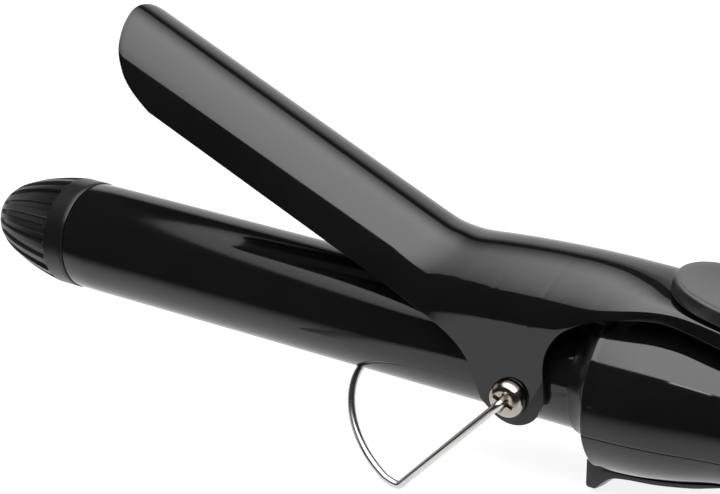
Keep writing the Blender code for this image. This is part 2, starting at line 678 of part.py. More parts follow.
def stand_path():
    """Centre line of the wire from one screw's hole to the other's, through both feet."""
    crown = EAR_HALF_WIDTH + GAP + SCREW_HEAD_HEIGHT
    hook_out = crown + GAP + WIRE_RADIUS
    foot = Vector((-FOOT_FORWARD, -FOOT_HALF_WIDTH, -FOOT_DROP))
    hinge = Vector((0.0, -hook_out, PIVOT.z))
    leg = (foot - hinge).normalized()
    inner_end = Vector((0.0, -(crown - SCREW_HOLE_DEPTH + GAP), PIVOT.z))
    points = [inner_end, hinge + Vector((0, 0.7 * WIRE_RADIUS, 0)), hinge + leg * 0.9 * WIRE_RADIUS]
    points += [hinge.lerp(foot, 0.5), foot - leg * 2.6 * WIRE_RADIUS, foot - leg * 0.9 * WIRE_RADIUS]
    apex = Vector((-ARCH_FORWARD, 0.0, -(BARREL_RADIUS + WIRE_RADIUS + GAP)))
    base = Vector((foot.x, 0.0, foot.z))
    for k in range(1, 16):
        t = math.pi / 2 * k / 15
        spread = foot.y * max(math.cos(t), 0.0) ** ARCH_NARROWING
        points.append(base + (apex - base) * math.sin(t) + Vector((0, spread, 0)))
    mirrored = [Vector((p.x, -p.y, p.z)) for p in reversed(points[:-1])]
    return points + mirrored


def wire_stand(look, pivot):
    return wire("wire_stand", stand_path(), WIRE_RADIUS, 3, look["chrome"], pivot)


# ------------------------------------------------------------------ collar and handle

def handle_radius(x):
    """Outer radius of the handle at a distance along the iron."""
    return smooth_value([(HANDLE_FRONT + s * MM, r * MM) for s, r in HANDLE_STATIONS], x)


def heat_collar(look, root):
    """Flared collar that closes the handle's mouth round the barrel."""
    bore = BARREL_RADIUS + GAP
    lip = bore + COLLAR_BODY
    tail = HANDLE_FRONT + HANDLE_WALL + GAP
    flare = [(COLLAR_FRONT + (HANDLE_FRONT - GAP - COLLAR_FRONT) * s, lip + COLLAR_FLARE * s ** 2.2)
             for s in (k / 5 for k in range(6))]
    neck = COLLAR_NECK_RADIUS
    profile = [(COLLAR_FRONT, bore)] + flare + [
        (HANDLE_FRONT - GAP, neck), (tail, neck), (tail, neck + 1.1 * MM),
        (tail + 3 * MM, neck + 1.1 * MM), (tail + 3 * MM, bore)]
    return place("heat_collar", turned("heat_collar", profile), look["satin"], root)


def insulator_ring(look, root):
    """Ring that centres the barrel's tail in the handle shells."""
    bore = BARREL_RADIUS + GAP
    front = HANDLE_FRONT + HANDLE_WALL + 2 * GAP + 3.6 * MM
    outer = handle_radius(front + 5 * MM) - HANDLE_WALL - 2 * GAP
    profile = [(front, bore), (front, outer), (front + 5 * MM, outer), (front + 5 * MM, bore)]
    return place("insulator_ring", turned("insulator_ring", profile), look["ceramic"], root)


def handle_shell_mesh(name):
    """Whole hollow handle, turned, before it is split into its two shells."""
    mouth = COLLAR_NECK_RADIUS + GAP
    start = handle_radius(HANDLE_FRONT)
    edge = arc((HANDLE_FRONT + FRONT_EDGE, start - FRONT_EDGE), FRONT_EDGE, 180, 90, 3)
    stations = [HANDLE_FRONT + FRONT_EDGE + (HANDLE_REAR - HANDLE_FRONT - FRONT_EDGE) * k / 16
                for k in range(1, 17)]
    outer = [(HANDLE_FRONT, mouth)] + edge + [(x, handle_radius(x)) for x in stations]
    front_wall = HANDLE_FRONT + HANDLE_WALL
    inner = [(x, handle_radius(x) - HANDLE_WALL) for x in reversed(stations[::2] + [HANDLE_REAR])
             if x > front_wall]
    inner += [(front_wall, handle_radius(front_wall) - HANDLE_WALL), (front_wall, mouth)]
    return turned(name, outer + inner)


def handle_shells(look, root):
    """Upper and lower shell, each the turned handle on its side of the parting plane."""
    wide, reach = 40 * MM, 10 * MM
    parting = -PARTING_DROP
    shells = {}
    for name, low, high in (("handle_upper_shell", parting + GAP / 2, wide),
                            ("handle_lower_shell", -wide, parting - GAP / 2)):
        shell = place(name, handle_shell_mesh(name), look["gloss"], root)
        keep = box(f"{name}_side", (HANDLE_FRONT - reach, -wide, low),
                   (HANDLE_REAR + reach, wide, high))
        combine(shell, place(f"{name}_side", keep, look["gloss"], root), "INTERSECT")
        shells[name] = shell
    return shells["handle_upper_shell"], shells["handle_lower_shell"]


def screw_posts(look, root, upper, lower):
    """Posts inside both shells, and the screws driven up through them from below."""
    parting = -PARTING_DROP
    for name, x in zip(("handle_screw_front", "handle_screw_rear"), SCREW_POSTS):
        skin = handle_radius(x)
        seat = -skin + 3.2 * MM
        low_post = rod("post", (x, 0, -skin + 1.2 * MM), (x, 0, parting - GAP / 2), POST_RADIUS, 20)
        high_post = rod("post", (x, 0, parting + GAP / 2), (x, 0, skin - 1.2 * MM), POST_RADIUS, 20)
        pilot_top = parting + 9 * MM
        add(lower, place(f"{name}_low_post", low_post, look["gloss"], root))
        add(upper, place(f"{name}_high_post", high_post, look["gloss"], root))
        tools = [
            (lower, rod("well", (x, 0, -skin - 2 * MM), (x, 0, seat), CASE_SCREW_HEAD + GAP, 20)),
            (lower, rod("through", (x, 0, seat - MM), (x, 0, parting + MM), CASE_SCREW_RADIUS + GAP, 16)),
            (upper, rod("pilot", (x, 0, parting - MM), (x, 0, pilot_top), CASE_SCREW_RADIUS + GAP, 16)),
        ]
        for k, (shell, tool) in enumerate(tools):
            cut(shell, place(f"{name}_bore_{k}", tool, look["gloss"], root))
        head = seat - GAP
        profile = [(head - 1.6 * MM, 0.0), (head - 1.6 * MM, CASE_SCREW_HEAD * 0.8),
                   (head - 0.8 * MM, CASE_SCREW_HEAD), (head, CASE_SCREW_HEAD),
                   (head, CASE_SCREW_RADIUS), (pilot_top - MM, CASE_SCREW_RADIUS),
                   (pilot_top - MM, 0.0)]
        screw = turned(name, profile, 20)
        screw.transform(Matrix.Translation((x, 0, 0)) @ Matrix.Rotation(-math.pi / 2, 4, "Y"))
        place(name, screw, look["steel"], root)


def rest_heel(look, root, lower):
    """Heel under the handle's front: a short toe in front and a thin tongue running back."""
    front = HANDLE_FRONT - GAP
    tongue = smooth_path(HEEL_CURVE, 2)
    rear = tongue[-1][0]
    seat = [(rear + (front - rear) * k / 6, handle_radius(rear + (front - rear) * k / 6) + GAP)
            for k in range(7)]
    profile = [(HEEL_FRONT, HEEL_TOP_RADIUS), (HEEL_FRONT, HEEL_TOE_RADIUS),
               (HEEL_FRONT + HEEL_TOE, HEEL_TOE_RADIUS)] + tongue + seat + [(front, HEEL_TOP_RADIUS)]
    heel = place("rest_heel", turned("rest_heel", profile, 72), look["satin"], root)
    deep = 2 * HEEL_TOE_RADIUS
    keep = box("heel_side", (0, -HEEL_HALF_WIDTH, -deep), (rear + deep, HEEL_HALF_WIDTH, 0))
    combine(heel, place("heel_side", keep, look["satin"], root), "INTERSECT")
    peg_foot = -handle_radius(HEEL_PEG_X) - 0.8 * MM
    peg_top = -handle_radius(HEEL_PEG_X) + HANDLE_WALL
    peg = rod("heel_peg", (HEEL_PEG_X, 0, peg_foot), (HEEL_PEG_X, 0, peg_top), HEEL_PEG_RADIUS, 16)
    add(heel, place("heel_peg", peg, look["satin"], root))
    hole = rod("heel_peg_hole", (HEEL_PEG_X, 0, peg_foot - MM), (HEEL_PEG_X, 0, peg_top + MM),
               HEEL_PEG_RADIUS + GAP, 16)
    cut(lower, place("heel_peg_hole", hole, look["satin"], root))


def controls(look, root, upper):
    """Board, slide switch with its button, and the pilot lamp's lens."""
    board = box("circuit_board", (BOARD_FRONT, -BOARD_HALF_WIDTH, BOARD_LEVEL - BOARD_THICKNESS),
                (BOARD_REAR, BOARD_HALF_WIDTH, BOARD_LEVEL))
    place("circuit_board", board, look["board"], root)
    rear = SWITCH_FRONT + SLIDER_LENGTH + SWITCH_TRAVEL
    body = box("switch_body", (SWITCH_FRONT - 2 * MM, -SLIDER_HALF_WIDTH - MM, SWITCH_LEVEL - 5 * MM),
               (rear + 2 * MM, SLIDER_HALF_WIDTH + MM, SWITCH_LEVEL))
    place("switch_body", body, look["board_parts"], root)
    slot = box("switch_slot", (SWITCH_FRONT - 2 * GAP, -SLIDER_HALF_WIDTH - GAP, SWITCH_LEVEL),
               (rear + 2 * GAP, SLIDER_HALF_WIDTH + GAP, SWITCH_LEVEL + 20 * MM))
    cut(upper, place("switch_slot", slot, look["gloss"], root))
    hole = rod("lens_hole", (LENS_X, 0, 8 * MM), (LENS_X, 0, 30 * MM), LENS_RADIUS + GAP, 20)
    cut(upper, place("lens_hole", hole, look["gloss"], root))
    skin = handle_radius(LENS_X)
    low = skin - HANDLE_WALL - MM
    dome = [(skin + 0.7 * MM * math.cos(t), LENS_RADIUS * math.sin(t))
            for t in (math.pi / 2 * k / 4 for k in range(5))]
    lens = turned("indicator_lens", [(low, 0.0), (low, LENS_RADIUS)] + list(reversed(dome)), 20)
    lens.transform(Matrix.Translation((LENS_X, 0, 0)) @ Matrix.Rotation(-math.pi / 2, 4, "Y"))
    place("indicator_lens", lens, look["lens"], root)
    slider_button(look, root)


def slider_button(look, root):
    """Ribbed button of the slide switch, drawn at the off end of its travel."""
    top = handle_radius(SWITCH_FRONT + SLIDER_LENGTH + SWITCH_TRAVEL) + 0.9 * MM
    rib = SLIDER_LENGTH / 10
    crest = [(SWITCH_FRONT, top - MM), (SWITCH_FRONT + rib, top)]
    for k in range(4):
        x = SWITCH_FRONT + rib * (1.5 + 2 * k)
        crest += [(x, top), (x + rib * 0.4, top - 0.5 * MM), (x + rib, top - 0.5 * MM), (x + rib * 1.4, top)]
    crest += [(SWITCH_FRONT + SLIDER_LENGTH, top), (SWITCH_FRONT + SLIDER_LENGTH, SWITCH_LEVEL + GAP),
              (SWITCH_FRONT, SWITCH_LEVEL + GAP)]
    mesh = extruded("switch_button", crest, -SLIDER_HALF_WIDTH, SLIDER_HALF_WIDTH)
    place("switch_button", mesh, look["satin"], root)


def rear_end(look, root):
    """End cap, the swivelling cord gland that it traps, and the ring behind the gland's flange."""
    seam = HANDLE_REAR + GAP
    rear = seam + END_LENGTH
    skin = handle_radius(HANDLE_REAR)
    spigot = skin - HANDLE_WALL - GAP
    start = HANDLE_REAR - SPIGOT_LENGTH
    pocket = SWIVEL_FLANGE + GAP
    bore = SWIVEL_RADIUS + GAP
    wall = rear - 4.4 * MM
    crown = [(seam + END_LENGTH * math.sin(t), END_FACE_RADIUS + (skin - END_FACE_RADIUS) * math.cos(t))
             for t in (math.pi / 2 * k / 5 for k in range(6))]
    cap = [(start, pocket), (start, spigot), (seam, spigot)] + crown + [
        (rear, bore), (wall, bore), (wall, pocket)]
    place("end_cap", turned("end_cap", cap), look["gloss"], root)
    flange_rear = wall - GAP
    flange_front = flange_rear - 1.8 * MM
    tail = rear + SWIVEL_PROUD
    gland = [(flange_front, CORD_BORE_RADIUS), (flange_front, SWIVEL_FLANGE),
             (flange_rear, SWIVEL_FLANGE), (flange_rear, SWIVEL_RADIUS),
             (tail - 2 * MM, SWIVEL_RADIUS), (tail - 0.6 * MM, SWIVEL_RADIUS - 0.6 * MM),
             (tail, SWIVEL_RADIUS - 2 * MM), (tail, CORD_BORE_RADIUS)]
    place("cord_swivel", turned("cord_swivel", gland, 32), look["satin"], root)
    ring_rear = flange_front - GAP
    ring = [(ring_rear - 2 * MM, 6 * MM), (ring_rear - 2 * MM, SWIVEL_FLANGE),
            (ring_rear, SWIVEL_FLANGE), (ring_rear, 6 * MM)]
    place("swivel_retainer", turned("swivel_retainer", ring, 32), look["steel"], root)


# ------------------------------------------------------------------ stance

def rest_tilt():
    """Angle that brings the stand's feet and the handle's back down to one level."""
    lowest = min(stand_path(), key=lambda point: point.z)
    foot = (lowest.x, lowest.z - WIRE_RADIUS)
    span = range(40, 111)
    stations = [HANDLE_FRONT + (HANDLE_REAR - HANDLE_FRONT) * k / 110 for k in span]
    return min(math.atan2(-handle_radius(x) - foot[1], x - foot[0]) for x in stations)


def set_down(root):
    """Move the iron so that its bounding box stands on the origin by its bottom's middle."""
    bpy.context.view_layer.update()
    depsgraph = bpy.context.evaluated_depsgraph_get()
    low, high = Vector((1e3,) * 3), Vector((-1e3,) * 3)
    for thing in bpy.data.objects:
        if thing.type not in {"MESH", "CURVE"} or thing.hide_render:
            continue
        shape = thing.evaluated_get(depsgraph)
        mesh = shape.to_mesh()
        for vertex in mesh.vertices:
            point = thing.matrix_world @ vertex.co
            low = Vector(map(min, low, point))
            high = Vector(map(max, high, point))
        shape.to_mesh_clear()
    middle = (low + high) / 2
    root.location = root.location - Vector((middle.x, middle.y, low.z))


def main():
    clear_scene()
    look = finishes()
    root = empty("iron", (0, 0, 0), tilt=rest_tilt())
    clamp_pivot = empty("clamp_pivot", PIVOT, root, OPEN_ANGLE)
    stand_pivot = empty("stand_pivot", PIVOT, root)
    cool_tip(look, root)
    barrel_tube(look, root)
    heater_parts(look, root)
    fuse_and_leads(look, root)
    pivot_parts(look, root)
    clamp(look, clamp_pivot)
    thumb_pad(look, clamp_pivot)
    return_spring(look, root)
    wire_stand(look, stand_pivot)
    heat_collar(look, root)
    insulator_ring(look, root)
    upper, lower = handle_shells(look, root)
    screw_posts(look, root, upper, lower)
    rest_heel(look, root, lower)
    controls(look, root, upper)
    rear_end(look, root)
    set_down(root)
    bpy.context.view_layer.update()


main()
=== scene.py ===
"""A spring-clamp curling iron, dressed in fine meshes and finishes and set in a light studio.

Every piece is drawn in the iron's own frame, X along the barrel's axis towards the cord end and
Z up with the clamp's pivot at X = 0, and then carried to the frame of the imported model.
"""

import json
import logging
import math
from dataclasses import dataclass, field
from enum import Enum
from typing import Any, Callable, Iterable, Sequence

import bmesh
import bpy
import numpy as np
from mathutils import Matrix, Vector

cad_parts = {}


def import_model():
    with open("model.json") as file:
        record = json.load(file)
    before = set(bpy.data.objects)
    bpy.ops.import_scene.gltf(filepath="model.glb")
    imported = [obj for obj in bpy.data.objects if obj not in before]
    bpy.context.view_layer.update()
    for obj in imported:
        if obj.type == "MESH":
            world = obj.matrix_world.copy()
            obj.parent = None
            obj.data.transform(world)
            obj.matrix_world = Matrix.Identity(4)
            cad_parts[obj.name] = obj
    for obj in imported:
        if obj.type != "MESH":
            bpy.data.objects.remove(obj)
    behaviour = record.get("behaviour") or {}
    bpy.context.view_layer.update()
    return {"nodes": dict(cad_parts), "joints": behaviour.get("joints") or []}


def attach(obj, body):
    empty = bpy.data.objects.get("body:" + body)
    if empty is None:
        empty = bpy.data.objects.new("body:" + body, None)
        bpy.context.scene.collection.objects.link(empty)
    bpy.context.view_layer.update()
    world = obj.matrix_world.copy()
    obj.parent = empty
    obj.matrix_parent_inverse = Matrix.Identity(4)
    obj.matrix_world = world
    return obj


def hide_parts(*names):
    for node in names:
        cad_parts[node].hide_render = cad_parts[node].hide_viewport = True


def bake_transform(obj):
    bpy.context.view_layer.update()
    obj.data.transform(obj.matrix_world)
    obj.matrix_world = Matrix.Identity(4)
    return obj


log = logging.getLogger("curling_iron")

MM = 0.001
GAP = 0.3 * MM
SHARP_ANGLE = math.radians(38)
OPEN_ANGLE = math.radians(22.5)
TOOL_SIDES = 48

Point2 = tuple[float, float]
Stations = Sequence[Point2]


# ---------------------------------------------------------------------------- curves

def station_value(stations: Stations, x: float) -> float:
    """Reads a smooth Catmull-Rom curve through (x, value) stations.

    Args:
        stations: Points in rising order of x.
        x: Where the curve is read; it is held at the ends.

    Returns:
        The curve's value at x.
    """
    last = len(stations) - 1
    i = max(k for k in range(last) if k == 0 or stations[k][0] <= x)
    x1, v1 = stations[i]
    x2, v2 = stations[i + 1]
    x0, v0 = stations[max(i - 1, 0)]
    x3, v3 = stations[min(i + 2, last)]
    t = (min(max(x, x1), x2) - x1) / (x2 - x1)
    m1 = (v2 - v0) / (x2 - x0) * (x2 - x1)
    m2 = (v3 - v1) / (x3 - x1) * (x2 - x1)
    return ((2 * t**3 - 3 * t**2 + 1) * v1 + (t**3 - 2 * t**2 + t) * m1
            + (3 * t**2 - 2 * t**3) * v2 + (t**3 - t**2) * m2)


def in_mm(points: Iterable[Sequence[float]]) -> list[tuple[float, ...]]:
    """Turns points written in millimetres into metres."""
    return [tuple(v * MM for v in point) for point in points]


def arc(centre: Point2, radius: float, start: float, end: float, steps: int) -> list[Point2]:
    """Points on a circle between two angles in degrees.

    Args:
        centre: The circle's middle.
        radius: Its radius.
        start: First angle.
        end: Last angle.
        steps: Number of spaces between points.

    Returns:
        The points, both ends included.
    """
    turns = [math.radians(start + (end - start) * k / steps) for k in range(steps + 1)]
    return [(centre[0] + radius * math.cos(t), centre[1] + radius * math.sin(t)) for t in turns]


def smooth_path(points: Sequence[Sequence[float]], steps: int) -> list[Point2]:
    """A Catmull-Rom curve through points in a plane.

    Args:
        points: The points that the curve passes through.
        steps: Number of short runs between neighbouring points.

    Returns:
        The curve's points, both ends included.
    """
    path = np.array(points, float)
    padded = np.vstack([path[:1], path, path[-1:]])
    out = []
    for i in range(len(path) - 1):
        p0, p1, p2, p3 = padded[i:i + 4]
        for k in range(steps):
            t = k / steps
            out.append(tuple(0.5 * (2 * p1 + (p2 - p0) * t + (2 * p0 - 5 * p1 + 4 * p2 - p3) * t**2
                                    + (3 * p1 - p0 - 3 * p2 + p3) * t**3)))
    return out + [tuple(path[-1])]


def even_spread(path: Sequence[Sequence[float]], count: int) -> np.ndarray:
    """Spreads points evenly along a path.

    Args:
        path: The path's own points.
        count: Number of points wanted.

    Returns:
        An array of count points.
    """
    line = np.array(path, float)
    run = np.r_[0.0, np.cumsum(np.linalg.norm(np.diff(line, axis=0), axis=1))]
    at = np.linspace(0.0, run[-1], count)
    return np.stack([np.interp(at, run, line[:, k]) for k in range(line.shape[1])], axis=1)


def rounded(points: np.ndarray, passes: int) -> np.ndarray:
    """Rounds the corners of an open path by cutting them, and keeps its two ends.

    Args:
        points: The path's points.
        passes: How many times the corners are cut.

    Returns:
        The longer, rounder path.
    """
    for _ in range(passes):
        near = 0.75 * points[:-1] + 0.25 * points[1:]
        far = 0.25 * points[:-1] + 0.75 * points[1:]
        middle = np.stack([near, far], axis=1).reshape(-1, points.shape[1])
        points = np.vstack([points[:1], middle, points[-1:]])
    return points


def relaxed(grid: np.ndarray, passes: int) -> np.ndarray:
    """Evens out a grid of points, and leaves its border and the rows next to it alone.

    Args:
        grid: Rows by columns by 3.
        passes: How many times each inner point moves towards its neighbours' middle.

    Returns:
        The smoother grid.
    """
    grid = grid.copy()
    columns = np.arange(1, grid.shape[1] - 1)
    inset = np.minimum(columns, columns[::-1])
    share = 0.5 * smooth_step(inset, 2, 14)[None, :, None]
    for _ in range(passes):
        middle = (grid[:-2, 1:-1] + grid[2:, 1:-1] + grid[1:-1, :-2] + grid[1:-1, 2:]) / 4
        grid[1:-1, 1:-1] += share * (middle - grid[1:-1, 1:-1])
    return grid


def smooth_step(value: Any, low: float, high: float) -> Any:
    """A soft step from 0 at low to 1 at high, for numbers and arrays."""
    t = np.clip((value - low) / (high - low), 0.0, 1.0)
    return t * t * (3 - 2 * t)


# ---------------------------------------------------------------------------- meshes

def mesh_object(name: str, bm: bmesh.types.BMesh, place: Matrix) -> bpy.types.Object:
    """Makes a shown object of a mesh drawn in the iron's frame.

    Args:
        name: The piece's name.
        bm: Its mesh, which is freed.
        place: Where the iron's frame lies in the model's frame.

    Returns:
        The linked object, at the origin, with its place in its vertices.
    """
    bmesh.ops.remove_doubles(bm, verts=bm.verts, dist=1e-7)
    bmesh.ops.dissolve_degenerate(bm, edges=bm.edges, dist=1e-8)
    bmesh.ops.recalc_face_normals(bm, faces=bm.faces)
    mesh = bpy.data.meshes.new(name)
    bm.to_mesh(mesh)
    bm.free()
    mesh.transform(place)
    mesh.shade_smooth()
    mesh.set_sharp_from_angle(angle=SHARP_ANGLE)
    made = bpy.data.objects.new(name, mesh)
    bpy.context.scene.collection.objects.link(made)
    return made


def grid_mesh(points: np.ndarray, wrap_rows: bool = False, wrap_columns: bool = True,
              capped: bool = False) -> bmesh.types.BMesh:
    """Joins rings of points into a skin.

    Args:
        points: Rings by points by 3.
        wrap_rows: Whether the last ring joins the first.
        wrap_columns: Whether each ring closes on itself.
        capped: Whether the first and last rings are closed with a face.

    Returns:
        The new mesh.
    """
    bm = bmesh.new()
    rows, columns = points.shape[:2]
    verts = [[bm.verts.new(p) for p in ring] for ring in points]
    for i in range(rows if wrap_rows else rows - 1):
        for j in range(columns if wrap_columns else columns - 1):
            a, b = verts[i], verts[(i + 1) % rows]
            k = (j + 1) % columns
            bm.faces.new((a[j], a[k], b[k], b[j]))
    if capped:
        bm.faces.new(verts[0])
        bm.faces.new(list(reversed(verts[-1])))
    return bm


def turned_mesh(profile: Stations, steps: int) -> bmesh.types.BMesh:
    """Turns a closed loop of (x, radius) points about the X axis.

    Args:
        profile: The loop's points.
        steps: Number of points round the axis.

    Returns:
        The new mesh.
    """
    loop = np.array(profile, float)
    turn = np.linspace(0, 2 * math.pi, steps, endpoint=False)
    rings = np.stack([
        np.repeat(loop[:, :1], steps, axis=1),
        np.outer(loop[:, 1], np.sin(turn)),
        np.outer(loop[:, 1], np.cos(turn)),
    ], axis=2)
    solid = loop[:, 1].min() < 1e-7
    return grid_mesh(rings, wrap_rows=not solid)


def swept_mesh(path: np.ndarray, radius: float, sides: int) -> bmesh.types.BMesh:
    """Sweeps a round section along a path without twisting it.

    Args:
        path: Points of the section's middle.
        radius: The section's radius.
        sides: Number of points round it.

    Returns:
        The new mesh, with flat ends.
    """
    along = np.gradient(path, axis=0)
    along /= np.linalg.norm(along, axis=1, keepdims=True)
    side = np.cross(along[0], (0.0, 0.0, 1.0))
    if np.linalg.norm(side) < 1e-3:
        side = np.cross(along[0], (0.0, 1.0, 0.0))
    turn = np.linspace(0, 2 * math.pi, sides, endpoint=False)
    rings = []
    for point, ahead in zip(path, along):
        side = side - ahead * np.dot(side, ahead)
        side /= np.linalg.norm(side)
        up = np.cross(ahead, side)
        rings.append(point + radius * (np.outer(np.cos(turn), side) + np.outer(np.sin(turn), up)))
    return grid_mesh(np.array(rings), capped=True)


def prism_mesh(outline: Sequence[Sequence[float]], low: float, high: float) -> bmesh.types.BMesh:
    """Stretches a closed (x, z) outline along Y.

    Args:
        outline: The outline's points.
        low: Where it starts.
        high: Where it ends.

    Returns:
        The new mesh.
    """
    flat = np.array(outline, float)
    ends = [np.stack([flat[:, 0], np.full(len(flat), y), flat[:, 1]], axis=1) for y in (low, high)]
    return grid_mesh(np.array(ends), capped=True)


def rod_mesh(start: Sequence[float], end: Sequence[float], radius: float) -> bmesh.types.BMesh:
    """A plain rod between two points, used as a tool or a post."""
    return swept_mesh(np.array([start, end], float), radius, TOOL_SIDES)


def shape_with(target: bpy.types.Object, operation: str,
               tools: Sequence[bpy.types.Object]) -> None:
    """Cuts or joins an object with others, which are then removed.

    Args:
        target: The object that is changed.
        operation: DIFFERENCE or UNION.
        tools: The objects that it is shaped with.
    """
    for tool in tools:
        change = target.modifiers.new(tool.name, "BOOLEAN")
        change.operation = operation
        change.solver = "EXACT"
        change.object = tool
    settle(target)
    for tool in tools:
        bpy.data.objects.remove(tool, do_unlink=True)


def settle(target: bpy.types.Object) -> None:
    """Replaces an object's mesh by what its modifiers make of it, and drops them.

    Args:
        target: The object that is changed.
    """
    bpy.context.view_layer.update()
    shown = target.evaluated_get(bpy.context.evaluated_depsgraph_get())
    mesh = bpy.data.meshes.new_from_object(shown)
    mesh.name = target.name
    target.modifiers.clear()
    target.data = mesh
    mesh.shade_smooth()
    mesh.set_sharp_from_angle(angle=SHARP_ANGLE)


def soften(target: bpy.types.Object, width: float, segments: int, angle: float) -> None:
    """Rounds an object's sharp edges.

    Args:
        target: The object that is changed.
        width: Width of the rounding.
        segments: Number of runs across it.
        angle: Edges sharper than this are rounded.
    """
    change = target.modifiers.new("soften", "BEVEL")
    change.width = width
    change.segments = segments
    change.limit_method = "ANGLE"
    change.angle_limit = angle
    change.use_clamp_overlap = True
    settle(target)


# ---------------------------------------------------------------------------- shader expressions

class Expression:
    """A shader socket that can stand in Python arithmetic; each operator adds a Math node."""

    def __init__(self, graph: "Graph", socket: bpy.types.NodeSocket) -> None:
        """Wraps a socket of a graph."""
        self.graph = graph
        self.socket = socket

    def _math(self, operation: str, first: Any, second: Any) -> "Expression":
        """Adds a Math node with two inputs."""
        return self.graph.node("ShaderNodeMath", {"operation": operation}, {0: first, 1: second})

    def __add__(self, other: Any) -> "Expression":
        """Sum."""
        return self._math("ADD", self, other)

    __radd__ = __add__

    def __sub__(self, other: Any) -> "Expression":
        """Difference."""
        return self._math("SUBTRACT", self, other)

    def __rsub__(self, other: Any) -> "Expression":
        """Difference, the other way round."""
        return self._math("SUBTRACT", other, self)

    def __mul__(self, other: Any) -> "Expression":
        """Product."""
        return self._math("MULTIPLY", self, other)

    __rmul__ = __mul__

    def __pow__(self, other: Any) -> "Expression":
        """Power."""
        return self._math("POWER", self, other)

    def step(self, low: float, high: float) -> "Expression":
        """A soft step from 0 at low to 1 at high."""
        return self.graph.node("ShaderNodeMapRange", {"interpolation_type": "SMOOTHSTEP"},
                               {"Value": self, "From Min": low, "From Max": high})


class Graph:
    """A material's node tree, built by expressions."""

    def __init__(self, name: str) -> None:
        """Starts a material with its Principled shader.

        Args:
            name: The material's name.
        """
        self.material = bpy.data.materials.new(name)
        self.material.use_nodes = True
        self.tree = self.material.node_tree
        self.shader = self.tree.nodes["Principled BSDF"]

    def node(self, kind: str, settings: dict[str, Any], inputs: dict[Any, Any],
             output: Any = 0) -> Expression:
        """Adds a node.

        Args:
            kind: The node's type.
            settings: Properties that are set before its sockets are used.
            inputs: Values or expressions by socket name or number.
            output: Name or number of the socket that is handed back.

        Returns:
            The node's output.
        """
        made = self.tree.nodes.new(kind)
        for key, value in settings.items():
            setattr(made, key, value)
        for key, value in inputs.items():
            self.feed(made.inputs[key], value)
        return Expression(self, made.outputs[output])

    def feed(self, socket: bpy.types.NodeSocket, value: Any) -> None:
        """Links an expression to a socket, or sets the socket's own value.

        Args:
            socket: The node's input.
            value: An expression, a number or a list of numbers.
        """
        if isinstance(value, Expression):
            self.tree.links.new(value.socket, socket)
        elif hasattr(socket.default_value, "__len__") and not hasattr(value, "__len__"):
            socket.default_value = [value] * len(socket.default_value)
        else:
            socket.default_value = value

    def place(self) -> Expression:
        """The point on the object, which stays with it as it moves."""
        return self.node("ShaderNodeTexCoord", {}, {}, "Object")

    def noise(self, size: float, detail: float,
              stretch: Sequence[float] = (1, 1, 1)) -> Expression:
        """Smooth noise of a real size.

        Args:
            size: Width of its spots in metres.
            detail: Number of finer layers.
            stretch: How much longer the spots are along each axis.

        Returns:
            The noise, from 0 to 1 about a mean of one half.
        """
        scale = [1 / (size * s) for s in stretch]
        point = self.node("ShaderNodeMapping", {}, {"Vector": self.place(), "Scale": scale}, "Vector")
        return self.node("ShaderNodeTexNoise", {}, {
            "Vector": point, "Scale": 1.0, "Detail": detail, "Roughness": 0.55}, "Fac")

    def spots(self, size: float) -> Expression:
        """Distance to the nearest of a scatter of points, for specks and grain of a real size."""
        return self.node("ShaderNodeTexVoronoi", {}, {
            "Vector": self.place(), "Scale": 1 / size, "Randomness": 1.0}, "Distance")

    def blend(self, share: Any, first: Sequence[float], second: Sequence[float]) -> Expression:
        """Mixes two colours.

        Args:
            share: How much of the second colour shows.
            first: First colour, linear red, green and blue.
            second: Second colour.

        Returns:
            The mixed colour.
        """
        return self.node("ShaderNodeMix", {"data_type": "RGBA"}, {
            0: share, 6: (*first, 1.0), 7: (*second, 1.0)}, 2)

    def relief(self, height: Expression, depth: float,
               under: Expression | None = None) -> Expression:
        """A bump of a real depth.

        Args:
            height: Height from 0 to 1.
            depth: What a height of 1 stands for, in metres.
            under: Another bump that this one lies on.

        Returns:
            The bumped normal.
        """
        inputs = {"Strength": 1.0, "Distance": depth, "Height": height}
        if under is not None:
            inputs["Normal"] = under
        return self.node("ShaderNodeBump", {}, inputs, "Normal")

    def finish(self, constants: dict[str, Any],
               varied: dict[str, Expression]) -> bpy.types.Material:
        """Sets the shader.

        Args:
            constants: Values that are the same all over.
            varied: Expressions by the shader's socket name.

        Returns:
            The finished material.
        """
        for key, value in constants.items():
            self.shader.inputs[key].default_value = value
        for key, value in varied.items():
            self.tree.links.new(value.socket, self.shader.inputs[key])
        return self.material


def tint(colour: Sequence[float], factor: float) -> tuple[float, float, float]:
    """A colour made lighter or darker."""
    return tuple(min(c * factor, 1.0) for c in colour)


